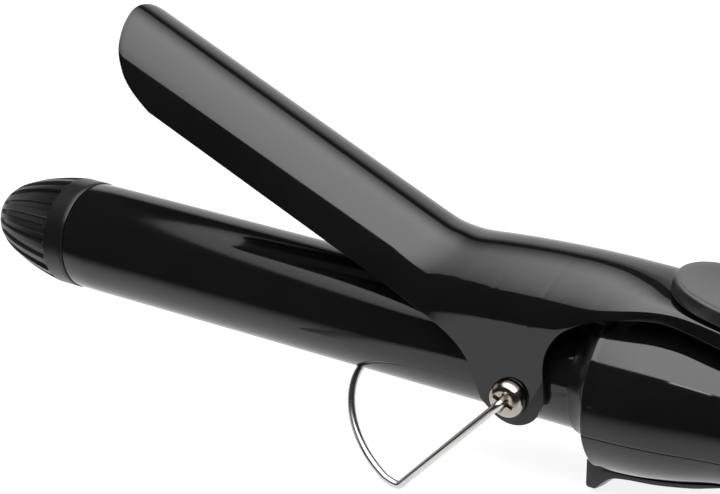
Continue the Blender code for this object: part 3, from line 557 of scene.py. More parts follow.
@dataclass(frozen=True)
class Gloss:
    """A deep gloss black, moulded or lacquered.

    Attributes:
        name: The finish's name.
        colour: Base colour, linear.
        polish: Roughness where it is cleanest.
        haze: How much rougher handling has made it.
        ripple: Depth of its long, faint ripples.
        peel: Depth of the fine skin texture.
        cloud_size: Width of the cloudy patches.
        smear_size: Width of the smears, which run lengthways.
        dust_size: Spacing of the dust specks.
        wave_size: Width of the ripples.
        peel_size: Width of the skin texture.
    """

    name: str
    colour: tuple[float, float, float]
    polish: float
    haze: float
    ripple: float
    peel: float
    cloud_size: float = 22 * MM
    smear_size: float = 2.2 * MM
    dust_size: float = 1.7 * MM
    wave_size: float = 16 * MM
    peel_size: float = 0.55 * MM

    def make(self) -> bpy.types.Material:
        """Builds the material.

        Returns:
            The material.
        """
        graph = Graph(self.name)
        cloud = graph.noise(self.cloud_size, 4.0)
        smear = graph.noise(self.smear_size, 5.0, (9, 1, 1))
        dust = 1 - graph.spots(self.dust_size).step(0.03, 0.06)
        rough = self.polish + self.haze * (cloud * 0.6 + smear * 0.4) ** 2 + dust * 0.15
        colour = graph.blend(cloud.step(0.3, 0.8) * 0.6 + dust * 0.35, self.colour,
                             tint(self.colour, 1.8))
        waves = graph.relief(graph.noise(self.wave_size, 1.0, (2.5, 1, 1)), self.ripple)
        skin = graph.relief(graph.noise(self.peel_size, 2.0), self.peel, waves)
        return graph.finish({"IOR": 1.5},
                            {"Base Color": colour, "Roughness": rough, "Normal": skin})


@dataclass(frozen=True)
class Satin:
    """A fine-grained satin moulding.

    Attributes:
        name: The finish's name.
        colour: Base colour, linear.
        rough: Middle roughness.
        grain: Width of the moulded grain.
        depth: Depth of the grain.
        wear_and_sheen_lift: How much rubbed edges lighten, and how much lighter the faces towards
            shine_up are painted, a painted sheen.
        shine_up: Direction whose faces are smoother and painted lighter as a painted sheen, or None.
        shine: Roughness of the faces towards shine_up.
        cloud_size: Width of the cloudy patches.
    """

    name: str
    colour: tuple[float, float, float]
    rough: float
    grain: float = 0.35 * MM
    depth: float = 0.012 * MM
    wear_and_sheen_lift: float = 1.6
    shine_up: tuple[float, float, float] | None = None
    shine: float = 0.12
    cloud_size: float = 9 * MM

    def make(self) -> bpy.types.Material:
        """Builds the material.

        Returns:
            The material.
        """
        graph = Graph(self.name)
        cloud = graph.noise(self.cloud_size, 4.0)
        grain = graph.noise(self.grain, 3.0)
        edges = graph.node("ShaderNodeNewGeometry", {}, {}, "Pointiness").step(0.52, 0.62)
        rough = self.rough + (cloud - 0.5) * 0.12 + (grain - 0.5) * 0.1 - edges * 0.08
        bump = grain
        if self.shine_up:
            normal = graph.node("ShaderNodeTexCoord", {}, {}, "Normal")
            facing = graph.node("ShaderNodeVectorMath", {"operation": "DOT_PRODUCT"},
                                {0: normal, 1: self.shine_up}, "Value")
            # Faces towards shine_up are made smoother here, and further down their colour is lifted
            # as a painted sheen.
            smooth_top_and_sheen = facing.step(0.86, 0.97)
            rough = rough * (1 - smooth_top_and_sheen) + smooth_top_and_sheen * (self.shine + (cloud - 0.5) * 0.05)
            bump = grain * (1 - smooth_top_and_sheen * 0.93)
        wear_and_sheen_share = edges * 0.5 + cloud.step(0.35, 0.75) * 0.4
        # Painted sheen: the faces towards shine_up are painted lighter, standing in for a reflection
        # on the top.
        if self.shine_up:
            wear_and_sheen_share = wear_and_sheen_share * (1 - smooth_top_and_sheen) + smooth_top_and_sheen * (0.85 + cloud * 0.3)
        colour = graph.blend(wear_and_sheen_share, self.colour, tint(self.colour, self.wear_and_sheen_lift))
        return graph.finish({"IOR": 1.48}, {"Base Color": colour, "Roughness": rough,
                                            "Normal": graph.relief(bump, self.depth)})


@dataclass(frozen=True)
class Metal:
    """A bare or plated metal.

    Attributes:
        name: The finish's name.
        colour: Reflected colour, linear.
        rough: Middle roughness.
        marks: Depth of the tool marks.
        along: How much longer the marks are along each axis.
        dull: Share of the colour that is left in handled spots.
        cloud_size: Width of the cloudy patches.
        mark_size: Width of the tool marks.
        pit_size: Spacing of the pits.
    """

    name: str
    colour: tuple[float, float, float]
    rough: float
    marks: float = 0.002 * MM
    along: tuple[float, float, float] = (1, 1, 1)
    dull: float = 0.75
    cloud_size: float = 5 * MM
    mark_size: float = 0.25 * MM
    pit_size: float = 0.9 * MM

    def make(self) -> bpy.types.Material:
        """Builds the material.

        Returns:
            The material.
        """
        graph = Graph(self.name)
        cloud = graph.noise(self.cloud_size, 4.0)
        lines = graph.noise(self.mark_size, 2.0, self.along)
        pits = 1 - graph.spots(self.pit_size).step(0.05, 0.12)
        rough = self.rough * (0.75 + cloud * 0.5) + lines * 0.05 + pits * 0.12
        colour = graph.blend(cloud.step(0.45, 0.8) * 0.5 + pits * 0.4, self.colour,
                             tint(self.colour, self.dull))
        return graph.finish({"Metallic": 1.0}, {
            "Base Color": colour, "Roughness": rough,
            "Normal": graph.relief(lines, self.marks)})


@dataclass(frozen=True)
class Filled:
    """A plain filled material inside the iron, such as ceramic, laminate, silicone or tinted lens.

    Attributes:
        name: The finish's name.
        colour: Main colour, linear.
        fleck: Colour of its flecks, linear.
        rough: Middle roughness.
        fleck_size: Spacing of the flecks.
        glow: Light that it gives off.
        cloud_size: Width of the cloudy patches.
        grain_size: Width of the grain.
        grain_depth: Depth of the grain.
    """

    name: str
    colour: tuple[float, float, float]
    fleck: tuple[float, float, float]
    rough: float
    fleck_size: float = 0.8 * MM
    glow: float = 0.0
    cloud_size: float = 4 * MM
    grain_size: float = 0.3 * MM
    grain_depth: float = 0.01 * MM

    def make(self) -> bpy.types.Material:
        """Builds the material.

        Returns:
            The material.
        """
        graph = Graph(self.name)
        cloud = graph.noise(self.cloud_size, 4.0)
        flecks = 1 - graph.spots(self.fleck_size).step(0.12, 0.3)
        grain = graph.noise(self.grain_size, 3.0)
        colour = graph.blend(flecks * 0.5 + cloud * 0.3, self.colour, self.fleck)
        rough = self.rough + (grain - 0.5) * 0.15
        constants = {"IOR": 1.5, "Emission Strength": self.glow,
                     "Emission Color": (*self.colour, 1.0)}
        return graph.finish(constants, {"Base Color": colour, "Roughness": rough,
                                        "Normal": graph.relief(grain, self.grain_depth)})


PAD_UP = (0.0, 0.0, 1.0)


class Finish(Enum):
    """The finishes of the iron's pieces."""

    SHELL = Gloss("handle_gloss_black", (0.0034, 0.0034, 0.0036), 0.035, 0.12,
                  0.035 * MM, 0.0006 * MM)
    BARREL = Gloss("barrel_enamel_black", (0.0038, 0.0038, 0.004), 0.045, 0.14,
                   0.02 * MM, 0.0009 * MM)
    PLATE = Gloss("clamp_lacquer_black", (0.0032, 0.0032, 0.0033), 0.03, 0.11,
                  0.028 * MM, 0.0006 * MM)
    TIP = Satin("cool_tip_black", (0.0045, 0.0045, 0.0047), 0.3, 0.3 * MM, 0.006 * MM)
    COLLAR = Satin("heat_collar_black", (0.0036, 0.0036, 0.0038), 0.22, 0.3 * MM, 0.005 * MM)
    HEEL = Satin("rest_heel_black", (0.0055, 0.0055, 0.0057), 0.36, 0.35 * MM, 0.008 * MM)
    # The pad's large lift lightens its rubbed edges and paints a sheen on its top.
    PAD = Satin("thumb_pad_black", (0.005, 0.005, 0.0052), 0.34, 0.35 * MM, 0.01 * MM,
                wear_and_sheen_lift=11.0, shine_up=PAD_UP, shine=0.13)
    GLAND = Satin("gland_black", (0.006, 0.006, 0.0062), 0.4)
    WIRE = Metal("wire_chrome", (0.66, 0.65, 0.64), 0.2, 0.0012 * MM, (5, 1, 1))
    SCREW = Metal("screw_nickel", (0.44, 0.4, 0.345), 0.15, 0.002 * MM)
    STEEL = Metal("plain_steel", (0.5, 0.5, 0.51), 0.28, 0.004 * MM)
    ALUMINIUM = Metal("extruded_aluminium", (0.76, 0.77, 0.78), 0.34, 0.006 * MM, (20, 1, 1))
    CERAMIC = Filled("heater_ceramic", (0.72, 0.69, 0.62), (0.55, 0.5, 0.42), 0.6)
    BOARD = Filled("board_laminate", (0.03, 0.15, 0.06), (0.09, 0.26, 0.12), 0.42, 1.4 * MM)
    MOULDING = Filled("switch_moulding", (0.02, 0.02, 0.021), (0.035, 0.035, 0.036), 0.4)
    LEAD = Filled("lead_silicone", (0.62, 0.6, 0.55), (0.5, 0.48, 0.43), 0.5)
    LENS = Filled("lens_red", (0.5, 0.02, 0.015), (0.75, 0.06, 0.04), 0.12, 1.0 * MM, 0.15)


class Paintbox:
    """Makes each finish once and lends it out."""

    def __init__(self) -> None:
        """Starts with no finishes made."""
        self.made: dict[Finish, bpy.types.Material] = {}

    def material(self, finish: Finish) -> bpy.types.Material:
        """The material of a finish, made when it is first asked for.

        Args:
            finish: The finish.

        Returns:
            Its material.
        """
        if finish not in self.made:
            self.made[finish] = finish.value.make()
        return self.made[finish]

    def dress(self, piece: bpy.types.Object, finish: Finish) -> None:
        """Gives a piece one finish."""
        piece.data.materials.clear()
        piece.data.materials.append(self.material(finish))


# ---------------------------------------------------------------------------- where things are

@dataclass
class Workshop:
    """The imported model's frame, and how pieces are put on it.

    Attributes:
        iron: The iron's own frame in the model's frame.
        clamp: The closed clamp's frame, turned open about its pivot.
        paint: The finishes.
    """

    iron: Matrix
    clamp: Matrix
    paint: Paintbox = field(default_factory=Paintbox)

    def add(self, piece: bpy.types.Object, body: str, finish: Finish, slot: str,
            *nodes: str) -> None:
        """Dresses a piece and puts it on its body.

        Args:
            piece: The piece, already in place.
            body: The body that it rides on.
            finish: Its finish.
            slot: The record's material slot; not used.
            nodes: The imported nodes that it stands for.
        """
        self.paint.dress(piece, finish)
        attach(piece, body)
        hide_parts(*nodes)
        log.info("%s: %d faces on %s", piece.name, len(piece.data.polygons), body)


def find_workshop(frame: dict[str, Any], pivot_drop: float, open_angle: float) -> Workshop:
    """Works out the iron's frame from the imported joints.

    Args:
        frame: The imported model, with its joints and nodes.
        pivot_drop: How far the clamp's pivot lies below the barrel's axis.
        open_angle: How far the clamp is drawn open.

    Returns:
        The workshop.
    """
    joints = {joint["name"]: joint for joint in frame["joints"]}
    along = Vector(joints["cord_swivel_spin"]["axis"]).normalized()
    across = Vector((0.0, 1.0, 0.0))
    up = along.cross(across).normalized()
    pivot = Vector(joints["clamp_hinge"]["pos_m"])
    turn = Matrix((along, across, up)).transposed().to_4x4()
    iron = Matrix.Translation(pivot + up * pivot_drop) @ turn
    hinge = Matrix.Translation((0.0, 0.0, -pivot_drop))
    clamp = iron @ hinge @ Matrix.Rotation(open_angle, 4, "Y") @ hinge.inverted()
    return Workshop(iron, clamp)


# ---------------------------------------------------------------------------- barrel and tip

@dataclass
class Barrel:
    """The heated tube and the fluted cool tip on its front end.

    Attributes:
        tip_blunt: Powers that shape the tip's long curve.
        flute_share: Share of the way round that the flutes take.
        flute_wall: Where a flute's wall starts and ends, across half of it.
        flute_cut: Where a flute starts and is fully deep, in front of the rim band.
        flute_rise: Length over which a flute runs out at its nose.
        flute_fade: Share of the tip's radius below which flutes grow shallower.
    """

    radius: float = 14.0 * MM
    wall: float = 1.0 * MM
    front: float = -137.3 * MM
    rear: float = 36.0 * MM
    rim: float = 0.25 * MM
    tip_radius: float = 14.2 * MM
    tip_band: float = 6.0 * MM
    tip_taper: float = 23.85 * MM
    tip_blunt: tuple[float, float] = (1.16, 2.9)
    tip_spigot: float = 9.0 * MM
    flutes: int = 20
    flute_steps: int = 16
    flute_depth: float = 0.85 * MM
    flute_share: float = 0.56
    flute_nose: float = 2.4 * MM
    flute_wall: Point2 = (0.62, 1.05)
    flute_cut: Point2 = (0.1 * MM, 0.65 * MM)
    flute_rise: float = 2.5 * MM
    flute_fade: float = 0.75
    steps: int = 192

    def tube(self) -> bmesh.types.BMesh:
        """The tube, with a softened front rim.

        Returns:
            Its mesh.
        """
        inner = self.radius - self.wall
        start = self.front + self.rim
        rim = arc((start, self.radius - self.rim), self.rim, 180, 90, 4)
        outer = [(x, self.radius) for x in np.linspace(start, self.rear, 25)[1:]]
        return turned_mesh(rim + outer + [(self.rear, inner), (self.front, inner)], self.steps)

    def tip_skin(self, depth: np.ndarray) -> np.ndarray:
        """The tip's outer radius at distances in front of the barrel."""
        share = np.clip((depth - self.tip_band) / self.tip_taper, 0.0, 1.0)
        return self.tip_radius * (1 - share ** self.tip_blunt[0]) ** (1 / self.tip_blunt[1])

    def tip(self) -> bmesh.types.BMesh:
        """The cap, with round-bottomed flutes cut square at the rim band.

        Returns:
            Its mesh.
        """
        face = self.front - GAP
        band = np.r_[0.0, 0.1, 0.3, 1.5, 3.0, 4.5, 5.6, np.linspace(5.9, 6.9, 9)] * MM
        past_cut = 0.95 * MM
        taper = self.tip_band + past_cut + (self.tip_taper - past_cut) * np.sin(
            np.linspace(0, math.pi / 2, 64)[1:])
        depth = np.r_[band, taper]
        skin = self.tip_skin(depth)
        skin[:3] -= np.array([0.3, 0.1, 0.0]) * MM
        steps = self.flutes * self.flute_steps
        turn = 2 * math.pi * np.arange(steps) / steps
        share = (turn * self.flutes / (2 * math.pi)) % 1.0
        off = np.abs(share - 0.5) / (self.flute_share / 2)
        across = 1 - smooth_step(off, *self.flute_wall)
        nose = self.tip_band + self.tip_taper - self.flute_nose
        lengthways = smooth_step(depth - self.tip_band, *self.flute_cut)
        lengthways = lengthways * (1 - smooth_step(depth, nose - self.flute_rise, nose))
        fade = np.minimum(1.0, skin / (self.flute_fade * self.tip_radius))
        radius = skin[:, None] - self.flute_depth * (lengthways * fade)[:, None] * across[None, :]
        radius = np.maximum(radius, 0.0)
        rings = np.stack([np.repeat((face - depth)[:, None], steps, axis=1),
                          radius * np.sin(turn), radius * np.cos(turn)], axis=2)
        spigot = self.radius - self.wall - GAP
        back = [(face, spigot), (face + self.tip_spigot, spigot), (face + self.tip_spigot, 0.0)]
        inner = np.array([[(x, r * math.sin(t), r * math.cos(t)) for t in turn] for x, r in back])
        return grid_mesh(np.vstack([inner[::-1], rings]))

    def build(self, shop: Workshop) -> None:
        """Builds and dresses the barrel and the tip.

        Args:
            shop: The workshop.
        """
        tube = mesh_object("barrel_fine", self.tube(), shop.iron)
        shop.add(tube, "iron", Finish.BARREL, "barrel", "barrel_tube")
        tip = mesh_object("cool_tip_fine", self.tip(), shop.iron)
        shop.add(tip, "iron", Finish.TIP, "tip", "cool_tip")


# ---------------------------------------------------------------------------- clamp

@dataclass
class Clamp:
    """The folded sheet that makes the spoon, the hump, the two ears and the lever, drawn closed.

    Attributes:
        nose_behind: How far behind the spoon's tip its straight lower edge starts.
        straight_from: Where the spoon's section stops being drawn in by the nose.
        wall_scale: Height of straight wall that one unit of share stands for.
        ear_crown: The crown point that goes with the ears' foremost lobe point.
        lobe_crown: The crown point that goes with the lobe's last point.
        nose: The nose seen from the side, as height and distance behind the tip.
        ear_front: The ear's front edge, from the spoon's edge down to the lobe.
        ear_rear: The ear's rear edge, from the lobe up and along the lever.
        crown_over_rear: The crown points that go with the rear edge, in millimetres.
    """

    sheet: float = 0.9 * MM
    spoon_radius: float = 15.2 * MM
    spoon_length: float = 138.0 * MM
    spoon_edge: float = 0.9 * MM
    nose_behind: float = 21.5 * MM
    straight_from: float = -92.0 * MM
    neck_start: float = -42.0 * MM
    lever_end: float = 51.0 * MM
    lever_half_width: float = 11.4 * MM
    lever_corner: float = 10.3 * MM
    lobe_centre: Point2 = (0.1 * MM, -2.4 * MM)
    lobe_radius: float = 8.1 * MM
    lobe_turn: tuple[float, float] = (252.0, 351.0)
    ear_crown: float = -16 * MM
    lobe_crown: float = -4.6 * MM
    wall_scale: float = 12.0 * MM
    rows: int = 44
    relax_passes: int = 2
    rim: float = 0.26 * MM
    nose: list[Point2] = field(default_factory=lambda: in_mm([
        (0.9, 21.5), (2.3, 16.6), (4.2, 12.2), (6.2, 9.3), (8.05, 7.0), (9.8, 5.3), (11.3, 4.1),
        (12.6, 3.0), (13.7, 2.1), (14.5, 1.3), (15.2, 0.55)]))
    ear_front: list[Point2] = field(default_factory=lambda: in_mm([
        (-36, 0.9), (-28, 1.0), (-23, 0.8), (-17.2, -0.4), (-12.5, -2.9), (-9.4, -6.0),
        (-6.2, -9.0)]))
    ear_rear: list[Point2] = field(default_factory=lambda: in_mm([
        (7.9, 0.4), (5.8, 5.0), (4.0, 8.8), (3.2, 13.2), (4.2, 18.6), (7.2, 23.3), (11, 27.2),
        (15.3, 30.2), (20.5, 33.2), (25.3, 34.9), (37.8, 37.2), (51, 40.1)]))
    crown_over_rear: tuple[float, ...] = (-4, -2.5, -1, 1, 3.5, 7, 11, 15.3, 20.5, 25.3, 37.8, 51)

    def __post_init__(self) -> None:
        """Fills in the stations of the section along the clamp."""
        spoon = self.spoon_radius
        start = self.neck_start
        self.width = [(start, spoon)] + in_mm([
            (-34, 15.5), (-28, 15.9), (-24, 16), (2, 16), (8, 15.7), (14, 14.6), (20, 12.9),
            (26, 11.7), (32, 11.4), (51, 11.4)])
        self.top = [(start, spoon)] + in_mm([
            (-38, 15.4), (-34, 16.4), (-30, 17.9), (-23, 21.6), (-15.6, 25.4), (-8.3, 28.9),
            (-1, 32.1), (6.2, 34.8), (13.5, 36.9), (19.4, 38.1), (35, 41.5), (51, 45.0)])
        self.spring = [(start, 0.0)] + in_mm([
            (-34, 0.6), (-28, 2.8), (-24.5, 4.6), (-15.2, 9.9), (-7.5, 13.8), (-0.4, 17.4),
            (6, 21.6), (13, 27.8), (20, 33.6), (27, 36.4), (35, 38.4), (51, 41.9)])
        self.squareness = [(start, 2.0), (8 * MM, 2.0), (20 * MM, 2.6), (30 * MM, 4.0),
                           (self.lever_end, 4.0)]

    def outline(self) -> list[tuple[float, float, float]]:
        """The sheet's lower edge on one side, each point with the crown point above it.

        Returns:
            (x, z, crown x) from the spoon's front corner to the lever's rear end.
        """
        front = -self.spoon_length + self.nose_behind
        start = self.ear_front[0][0]
        straight = [(x, self.spoon_edge, x) for x in np.linspace(front, start, 84)[:-1]]
        runs = 33
        ear = [(x, z, start + (self.ear_crown - start) * k / runs)
               for k, (x, z) in enumerate(even_spread(smooth_path(self.ear_front, 8), runs + 1))]
        crowns = np.linspace(self.ear_crown, self.lobe_crown, runs + 1)[1:]
        lobe = [(x, z, crown) for (x, z), crown in zip(
            arc(self.lobe_centre, self.lobe_radius, *self.lobe_turn, runs - 1), crowns)]
        keyed = [(x, z, c * MM) for (x, z), c in zip(self.ear_rear, self.crown_over_rear)]
        rear = even_spread(smooth_path(keyed, 8), 76)
        return straight + ear + lobe + [tuple(p) for p in rear]

    def section_point(self, x: float, share: float) -> tuple[float, float]:
        """A point on the left half of the section.

        Args:
            x: Distance along the clamp.
            share: Below 0 on the straight wall, 0 at the spring line and 1 at the crown.

        Returns:
            (half width, height).
        """
        half = station_value(self.width, x)
        spring = station_value(self.spring, x)
        if share <= 0:
            return half, spring + self.wall_scale * share
        power = 2 / station_value(self.squareness, x)
        rise = station_value(self.top, x) - spring
        turn = min(share, 1.0) * math.pi / 2
        return half * abs(math.cos(turn)) ** power, spring + rise * math.sin(turn) ** power

    def edge_share(self, x: float, z: float) -> float:
        """Where an edge point lies round its section.

        Args:
            x: The point's distance along the clamp.
            z: Its height.

        Returns:
            Its share, as section_point counts it.
        """
        spring = station_value(self.spring, x)
        if z <= spring:
            return (z - spring) / self.wall_scale
        power = 2 / station_value(self.squareness, x)
        rise = station_value(self.top, x) - spring
        return math.asin(min(((z - spring) / rise) ** (1 / power), 1.0)) * 2 / math.pi

    def column(self, x: float, z: float, crown: float) -> list[tuple[float, float, float]]:
        """One run of points from the sheet's edge up to its crown.

        Args:
            x: The edge point's distance along the clamp.
            z: Its height.
            crown: Distance of the crown point along the clamp.

        Returns:
            (x, half width, z) points.
        """
        low = self.edge_share(x, z)
        front = -self.spoon_length + self.nose_behind
        tip = 1 - (x - front) / (self.straight_from - front) if x < self.straight_from else 0.0
        points = []
        for k in range(self.rows + 1):
            along = k / self.rows
            share = low + (1 - low) * along
            at = x + (crown - x) * (1 - (1 - along)**2)
            half, height = self.section_point(at, share)
            if tip > 0:
                nose = station_value(self.nose, height) - self.spoon_length
                at = tip * nose + (1 - tip) * self.straight_from
            points.append((self.rounded_end(at, half), half, height))
        return points

    def rounded_end(self, x: float, half: float) -> float:
        """Draws the lever's rear corners in, seen from above.

        Args:
            x: A point's distance along the clamp.
            half: Its distance from the middle.

        Returns:
            The distance along the clamp that it is moved to.
        """
        bend = self.lever_end - self.lever_corner
        if x <= bend:
            return x
        off = max(half - (self.lever_half_width - self.lever_corner), 0.0) / self.lever_corner
        reach = max(math.sqrt(max(1 - min(off, 1.0)**2, 0.0)), 0.06)
        return bend + (x - bend) * reach

    def skin(self) -> bmesh.types.BMesh:
        """The sheet's outer face as one even grid.

        Returns:
            Its mesh.
        """
        rings = []
        for x, z, crown in self.outline():
            left = self.column(x, z, crown)
            rings.append([(x, -half, z) for x, half, z in left] + left[-2::-1])
        return grid_mesh(relaxed(np.array(rings), self.relax_passes), wrap_columns=False)

    def build(self, shop: Workshop) -> None:
        """Builds the sheet, thickens it inwards and rounds its cut edges.

        Args:
            shop: The workshop.
        """
        piece = mesh_object("clamp_fine", self.skin(), shop.clamp)
        normal = piece.data.polygons[len(piece.data.polygons) // 2].normal
        change = piece.modifiers.new("sheet", "SOLIDIFY")
        change.thickness = self.sheet
        change.offset = -1.0 if normal.z > 0 else 1.0
        settle(piece)
        soften(piece, self.rim, 3, math.radians(60))
        shop.add(piece, "clamp_assembly", Finish.PLATE, "plate", "clamp")


@dataclass
class ThumbPad:
    """The oval pad on the lever.

    Attributes:
        slope: Its tilt towards the rear.
        centre: Its middle, along the closed clamp and upwards.
        fullness: Power that makes its oval a little squarer than an ellipse.
        dish: How deep its top is dished.
        dish_rings: The rings of its top, as shares of its size.
    """

    length: float = 33.0 * MM
    half_width: float = 12.0 * MM
    thickness: float = 4.0 * MM
    slope: float = math.radians(12.5)
    centre: Point2 = (34.3 * MM, 43.75 * MM)
    fullness: float = 0.9
    rim: float = 0.75 * MM
    dish: float = 0.35 * MM
    dish_rings: tuple[float, ...] = (0.9, 0.75, 0.55, 0.35, 0.15, 0.0)
    steps: int = 128

    def build(self, shop: Workshop) -> None:
        """Builds the pad, with rounded rims and a slightly dished top.

        Args:
            shop: The workshop.
        """
        half, top = self.length / 2, self.thickness / 2
        side = [(self.rim * (1 - math.sin(t)), -top + self.rim * (1 - math.cos(t)))
                for t in np.linspace(0, math.pi / 2, 6)]
        levels = side + [(inset, -z) for inset, z in reversed(side)]
        rings = [self.ring(half - inset, self.half_width - inset, z) for inset, z in levels]
        for share in self.dish_rings:
            inner = share * (half - self.rim), share * (self.half_width - self.rim)
            rings.append(self.ring(*inner, top - self.dish * (1 - share**2) ** 1.5))
        rings.insert(0, self.ring(0.0, 0.0, -top))
        place = Matrix.Translation((self.centre[0], 0, self.centre[1]))
        place = shop.clamp @ place @ Matrix.Rotation(-self.slope, 4, "Y")
        pad = mesh_object("thumb_pad_fine", grid_mesh(np.array(rings)), place)
        shop.add(pad, "clamp_assembly", Finish.PAD, "satin", "thumb_pad")

    def ring(self, half_length: float, half_width: float, z: float) -> np.ndarray:
        """One oval ring of the pad.

        Args:
            half_length: Half its length.
            half_width: Half its width.
            z: Its height above the pad's middle.

        Returns:
            Its points.
        """
        turn = np.linspace(0, 2 * math.pi, self.steps, endpoint=False)
        c, s = np.cos(turn), np.sin(turn)
        x = np.sign(c) * np.abs(c) ** self.fullness * half_length
        y = np.sign(s) * np.abs(s) ** self.fullness * half_width
        return np.stack([x, y, np.full(len(turn), z)], axis=1)


# ---------------------------------------------------------------------------- pivot and stand

@dataclass
class Pivot:
    """The two pan-head screws, the wire stand that hangs in them and the return spring.

    Attributes:
        drop: How far the pivot lies below the barrel's axis.
        ear: Distance of the ears' outer faces from the middle.
        tip: Distance of the shanks' inner ends from the middle.
        head_flat: Share of the head's radius that its flat crown takes.
        head_curve: Powers that shape the head's shoulder, along and across it.
        foot: The stand's left foot.
        arch_forward: How far the bow between the feet reaches forwards.
        arch_level: Height of the bow's apex.
        arch_narrowing: Power that draws the bow in towards its apex.
    """

    drop: float = 3.8 * MM
    ear: float = 16.0 * MM
    shank: float = 1.6 * MM
    head: float = 4.7 * MM
    head_height: float = 2.8 * MM
    head_flat: float = 0.42
    head_curve: Point2 = (0.9, 0.8)
    head_rounding: float = 0.12 * MM
    tip: float = 8.9 * MM
    hole: float = 1.35 * MM
    hole_depth: float = 2.0 * MM
    recess_length: float = 5.6 * MM
    recess_width: float = 1.1 * MM
    recess_depth: float = 1.1 * MM
    recess_turn: float = math.radians(20)
    wire: float = 1.0 * MM
    foot: tuple[float, float, float] = (-24.1 * MM, -27.0 * MM, -29.93 * MM)
    arch_forward: float = 51.8 * MM
    arch_level: float = -15.3 * MM
    arch_narrowing: float = 1.38
    spring_x: float = 8.5 * MM
    spring_radius: float = 3.0 * MM
    spring_wire: float = 0.55 * MM
    spring_turns: int = 5
    spring_low: float = 16.15 * MM
    spring_high: float = 27.05 * MM

    @property
    def crown(self) -> float:
        """Distance of a screw head's crown from the middle."""
        return self.ear + GAP + self.head_height

    def screw(self, side: int, name: str, shop: Workshop) -> bpy.types.Object:
        """Builds one screw.

        Args:
            side: -1 for the left, 1 for the right.
            name: The piece's name.
            shop: The workshop.

        Returns:
            The screw.
        """
        seat = self.ear + GAP
        flat = self.head * self.head_flat
        rise, fall = self.head_curve
        edge = [(seat + self.head_height * math.sin(t) ** rise,
                 flat + (self.head - flat) * math.cos(t) ** fall)
                for t in np.linspace(0, math.pi / 2, 22)[1:-1]]
        profile = [(self.tip, 0.0), (self.tip, self.shank), (seat, self.shank),
                   (seat, self.head * 0.95), (seat + 0.05 * MM, self.head * 0.99)]
        profile += edge + [(self.crown, flat), (self.crown, 0.0)]
        axis = Matrix.Translation((0, 0, -self.drop))
        place = shop.iron @ axis @ Matrix.Rotation(side * math.pi / 2, 4, "Z")
        screw = mesh_object(name, turned_mesh(profile, 96), place)
        tools = [rod_mesh((self.crown - self.hole_depth, 0, 0), (self.crown + MM, 0, 0), self.hole)]
        floor = self.crown - self.recess_depth
        for turn in (self.recess_turn, self.recess_turn + math.pi / 2):
            half, wide = self.recess_length / 2, self.recess_width / 2
            slot = prism_mesh([(floor, -wide), (self.crown + MM, -wide), (self.crown + MM, wide),
                               (floor, wide)], -half, half)
            slot.transform(Matrix.Rotation(side * turn, 4, "X"))
            tools.append(slot)
        shape_with(screw, "DIFFERENCE",
                   [mesh_object(f"{name}_tool_{k}", bm, place) for k, bm in enumerate(tools)])
        soften(screw, self.head_rounding, 2, math.radians(45))
        return screw

    def stand_path(self) -> np.ndarray:
        """The wire's middle line, from one screw's hole over both feet to the other's.

        Returns:
            Its points.
        """
        hook = self.crown + GAP + self.wire
        hinge = np.array((0.0, -hook, -self.drop))
        foot = np.array(self.foot)
        leg = (foot - hinge) / np.linalg.norm(foot - hinge)
        inner = np.array((0.0, -(self.crown - self.hole_depth + GAP), -self.drop))
        points = [inner, hinge + (0, 0.7 * self.wire, 0), hinge + leg * 0.9 * self.wire]
        points += [hinge + (foot - hinge) * share for share in np.linspace(0.12, 0.88, 12)]
        points += [foot - leg * 2.6 * self.wire, foot - leg * 0.9 * self.wire]
        apex = np.array((-self.arch_forward, 0.0, self.arch_level))
        base = foot * (1, 0, 1)
        for t in np.linspace(0, math.pi / 2, 31)[2:]:
            spread = foot[1] * max(math.cos(t), 0.0) ** self.arch_narrowing
            points.append(base + (apex - base) * math.sin(t) + (0, spread, 0))
        left = np.array(points)
        whole = np.vstack([left, left[-2::-1] * (1, -1, 1)])
        return rounded(whole, 2)

    def coil_path(self) -> np.ndarray:
        """The return spring's middle line.

        Returns:
            Its points.
        """
        steps = 40 * self.spring_turns
        share = np.linspace(0, 1, steps + 1)
        turn = 2 * math.pi * self.spring_turns * share
        rise = self.spring_low + (self.spring_high - self.spring_low) * share
        return np.stack([self.spring_x + self.spring_radius * np.cos(turn),
                         self.spring_radius * np.sin(turn), rise], axis=1)

    def build(self, shop: Workshop) -> None:
        """Builds and dresses the screws, the stand and the spring.

        Args:
            shop: The workshop.
        """
        for side, name in ((-1, "left"), (1, "right")):
            screw = self.screw(side, f"pivot_screw_{name}_fine", shop)
            shop.add(screw, "iron", Finish.SCREW, "nickel", f"pivot_screw_{name}")
        stand = swept_mesh(self.stand_path(), self.wire, 28)
        stand = mesh_object("wire_stand_fine", stand, shop.iron)
        shop.add(stand, "stand", Finish.WIRE, "chrome", "wire_stand")
        coil = mesh_object("return_spring_fine",
                           swept_mesh(self.coil_path(), self.spring_wire, 14), shop.iron)
        shop.paint.dress(coil, Finish.STEEL)
        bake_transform(coil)
        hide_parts("return_spring")
        log.info("%s: %d faces between iron and clamp", coil.name, len(coil.data.polygons))


# ---------------------------------------------------------------------------- handle

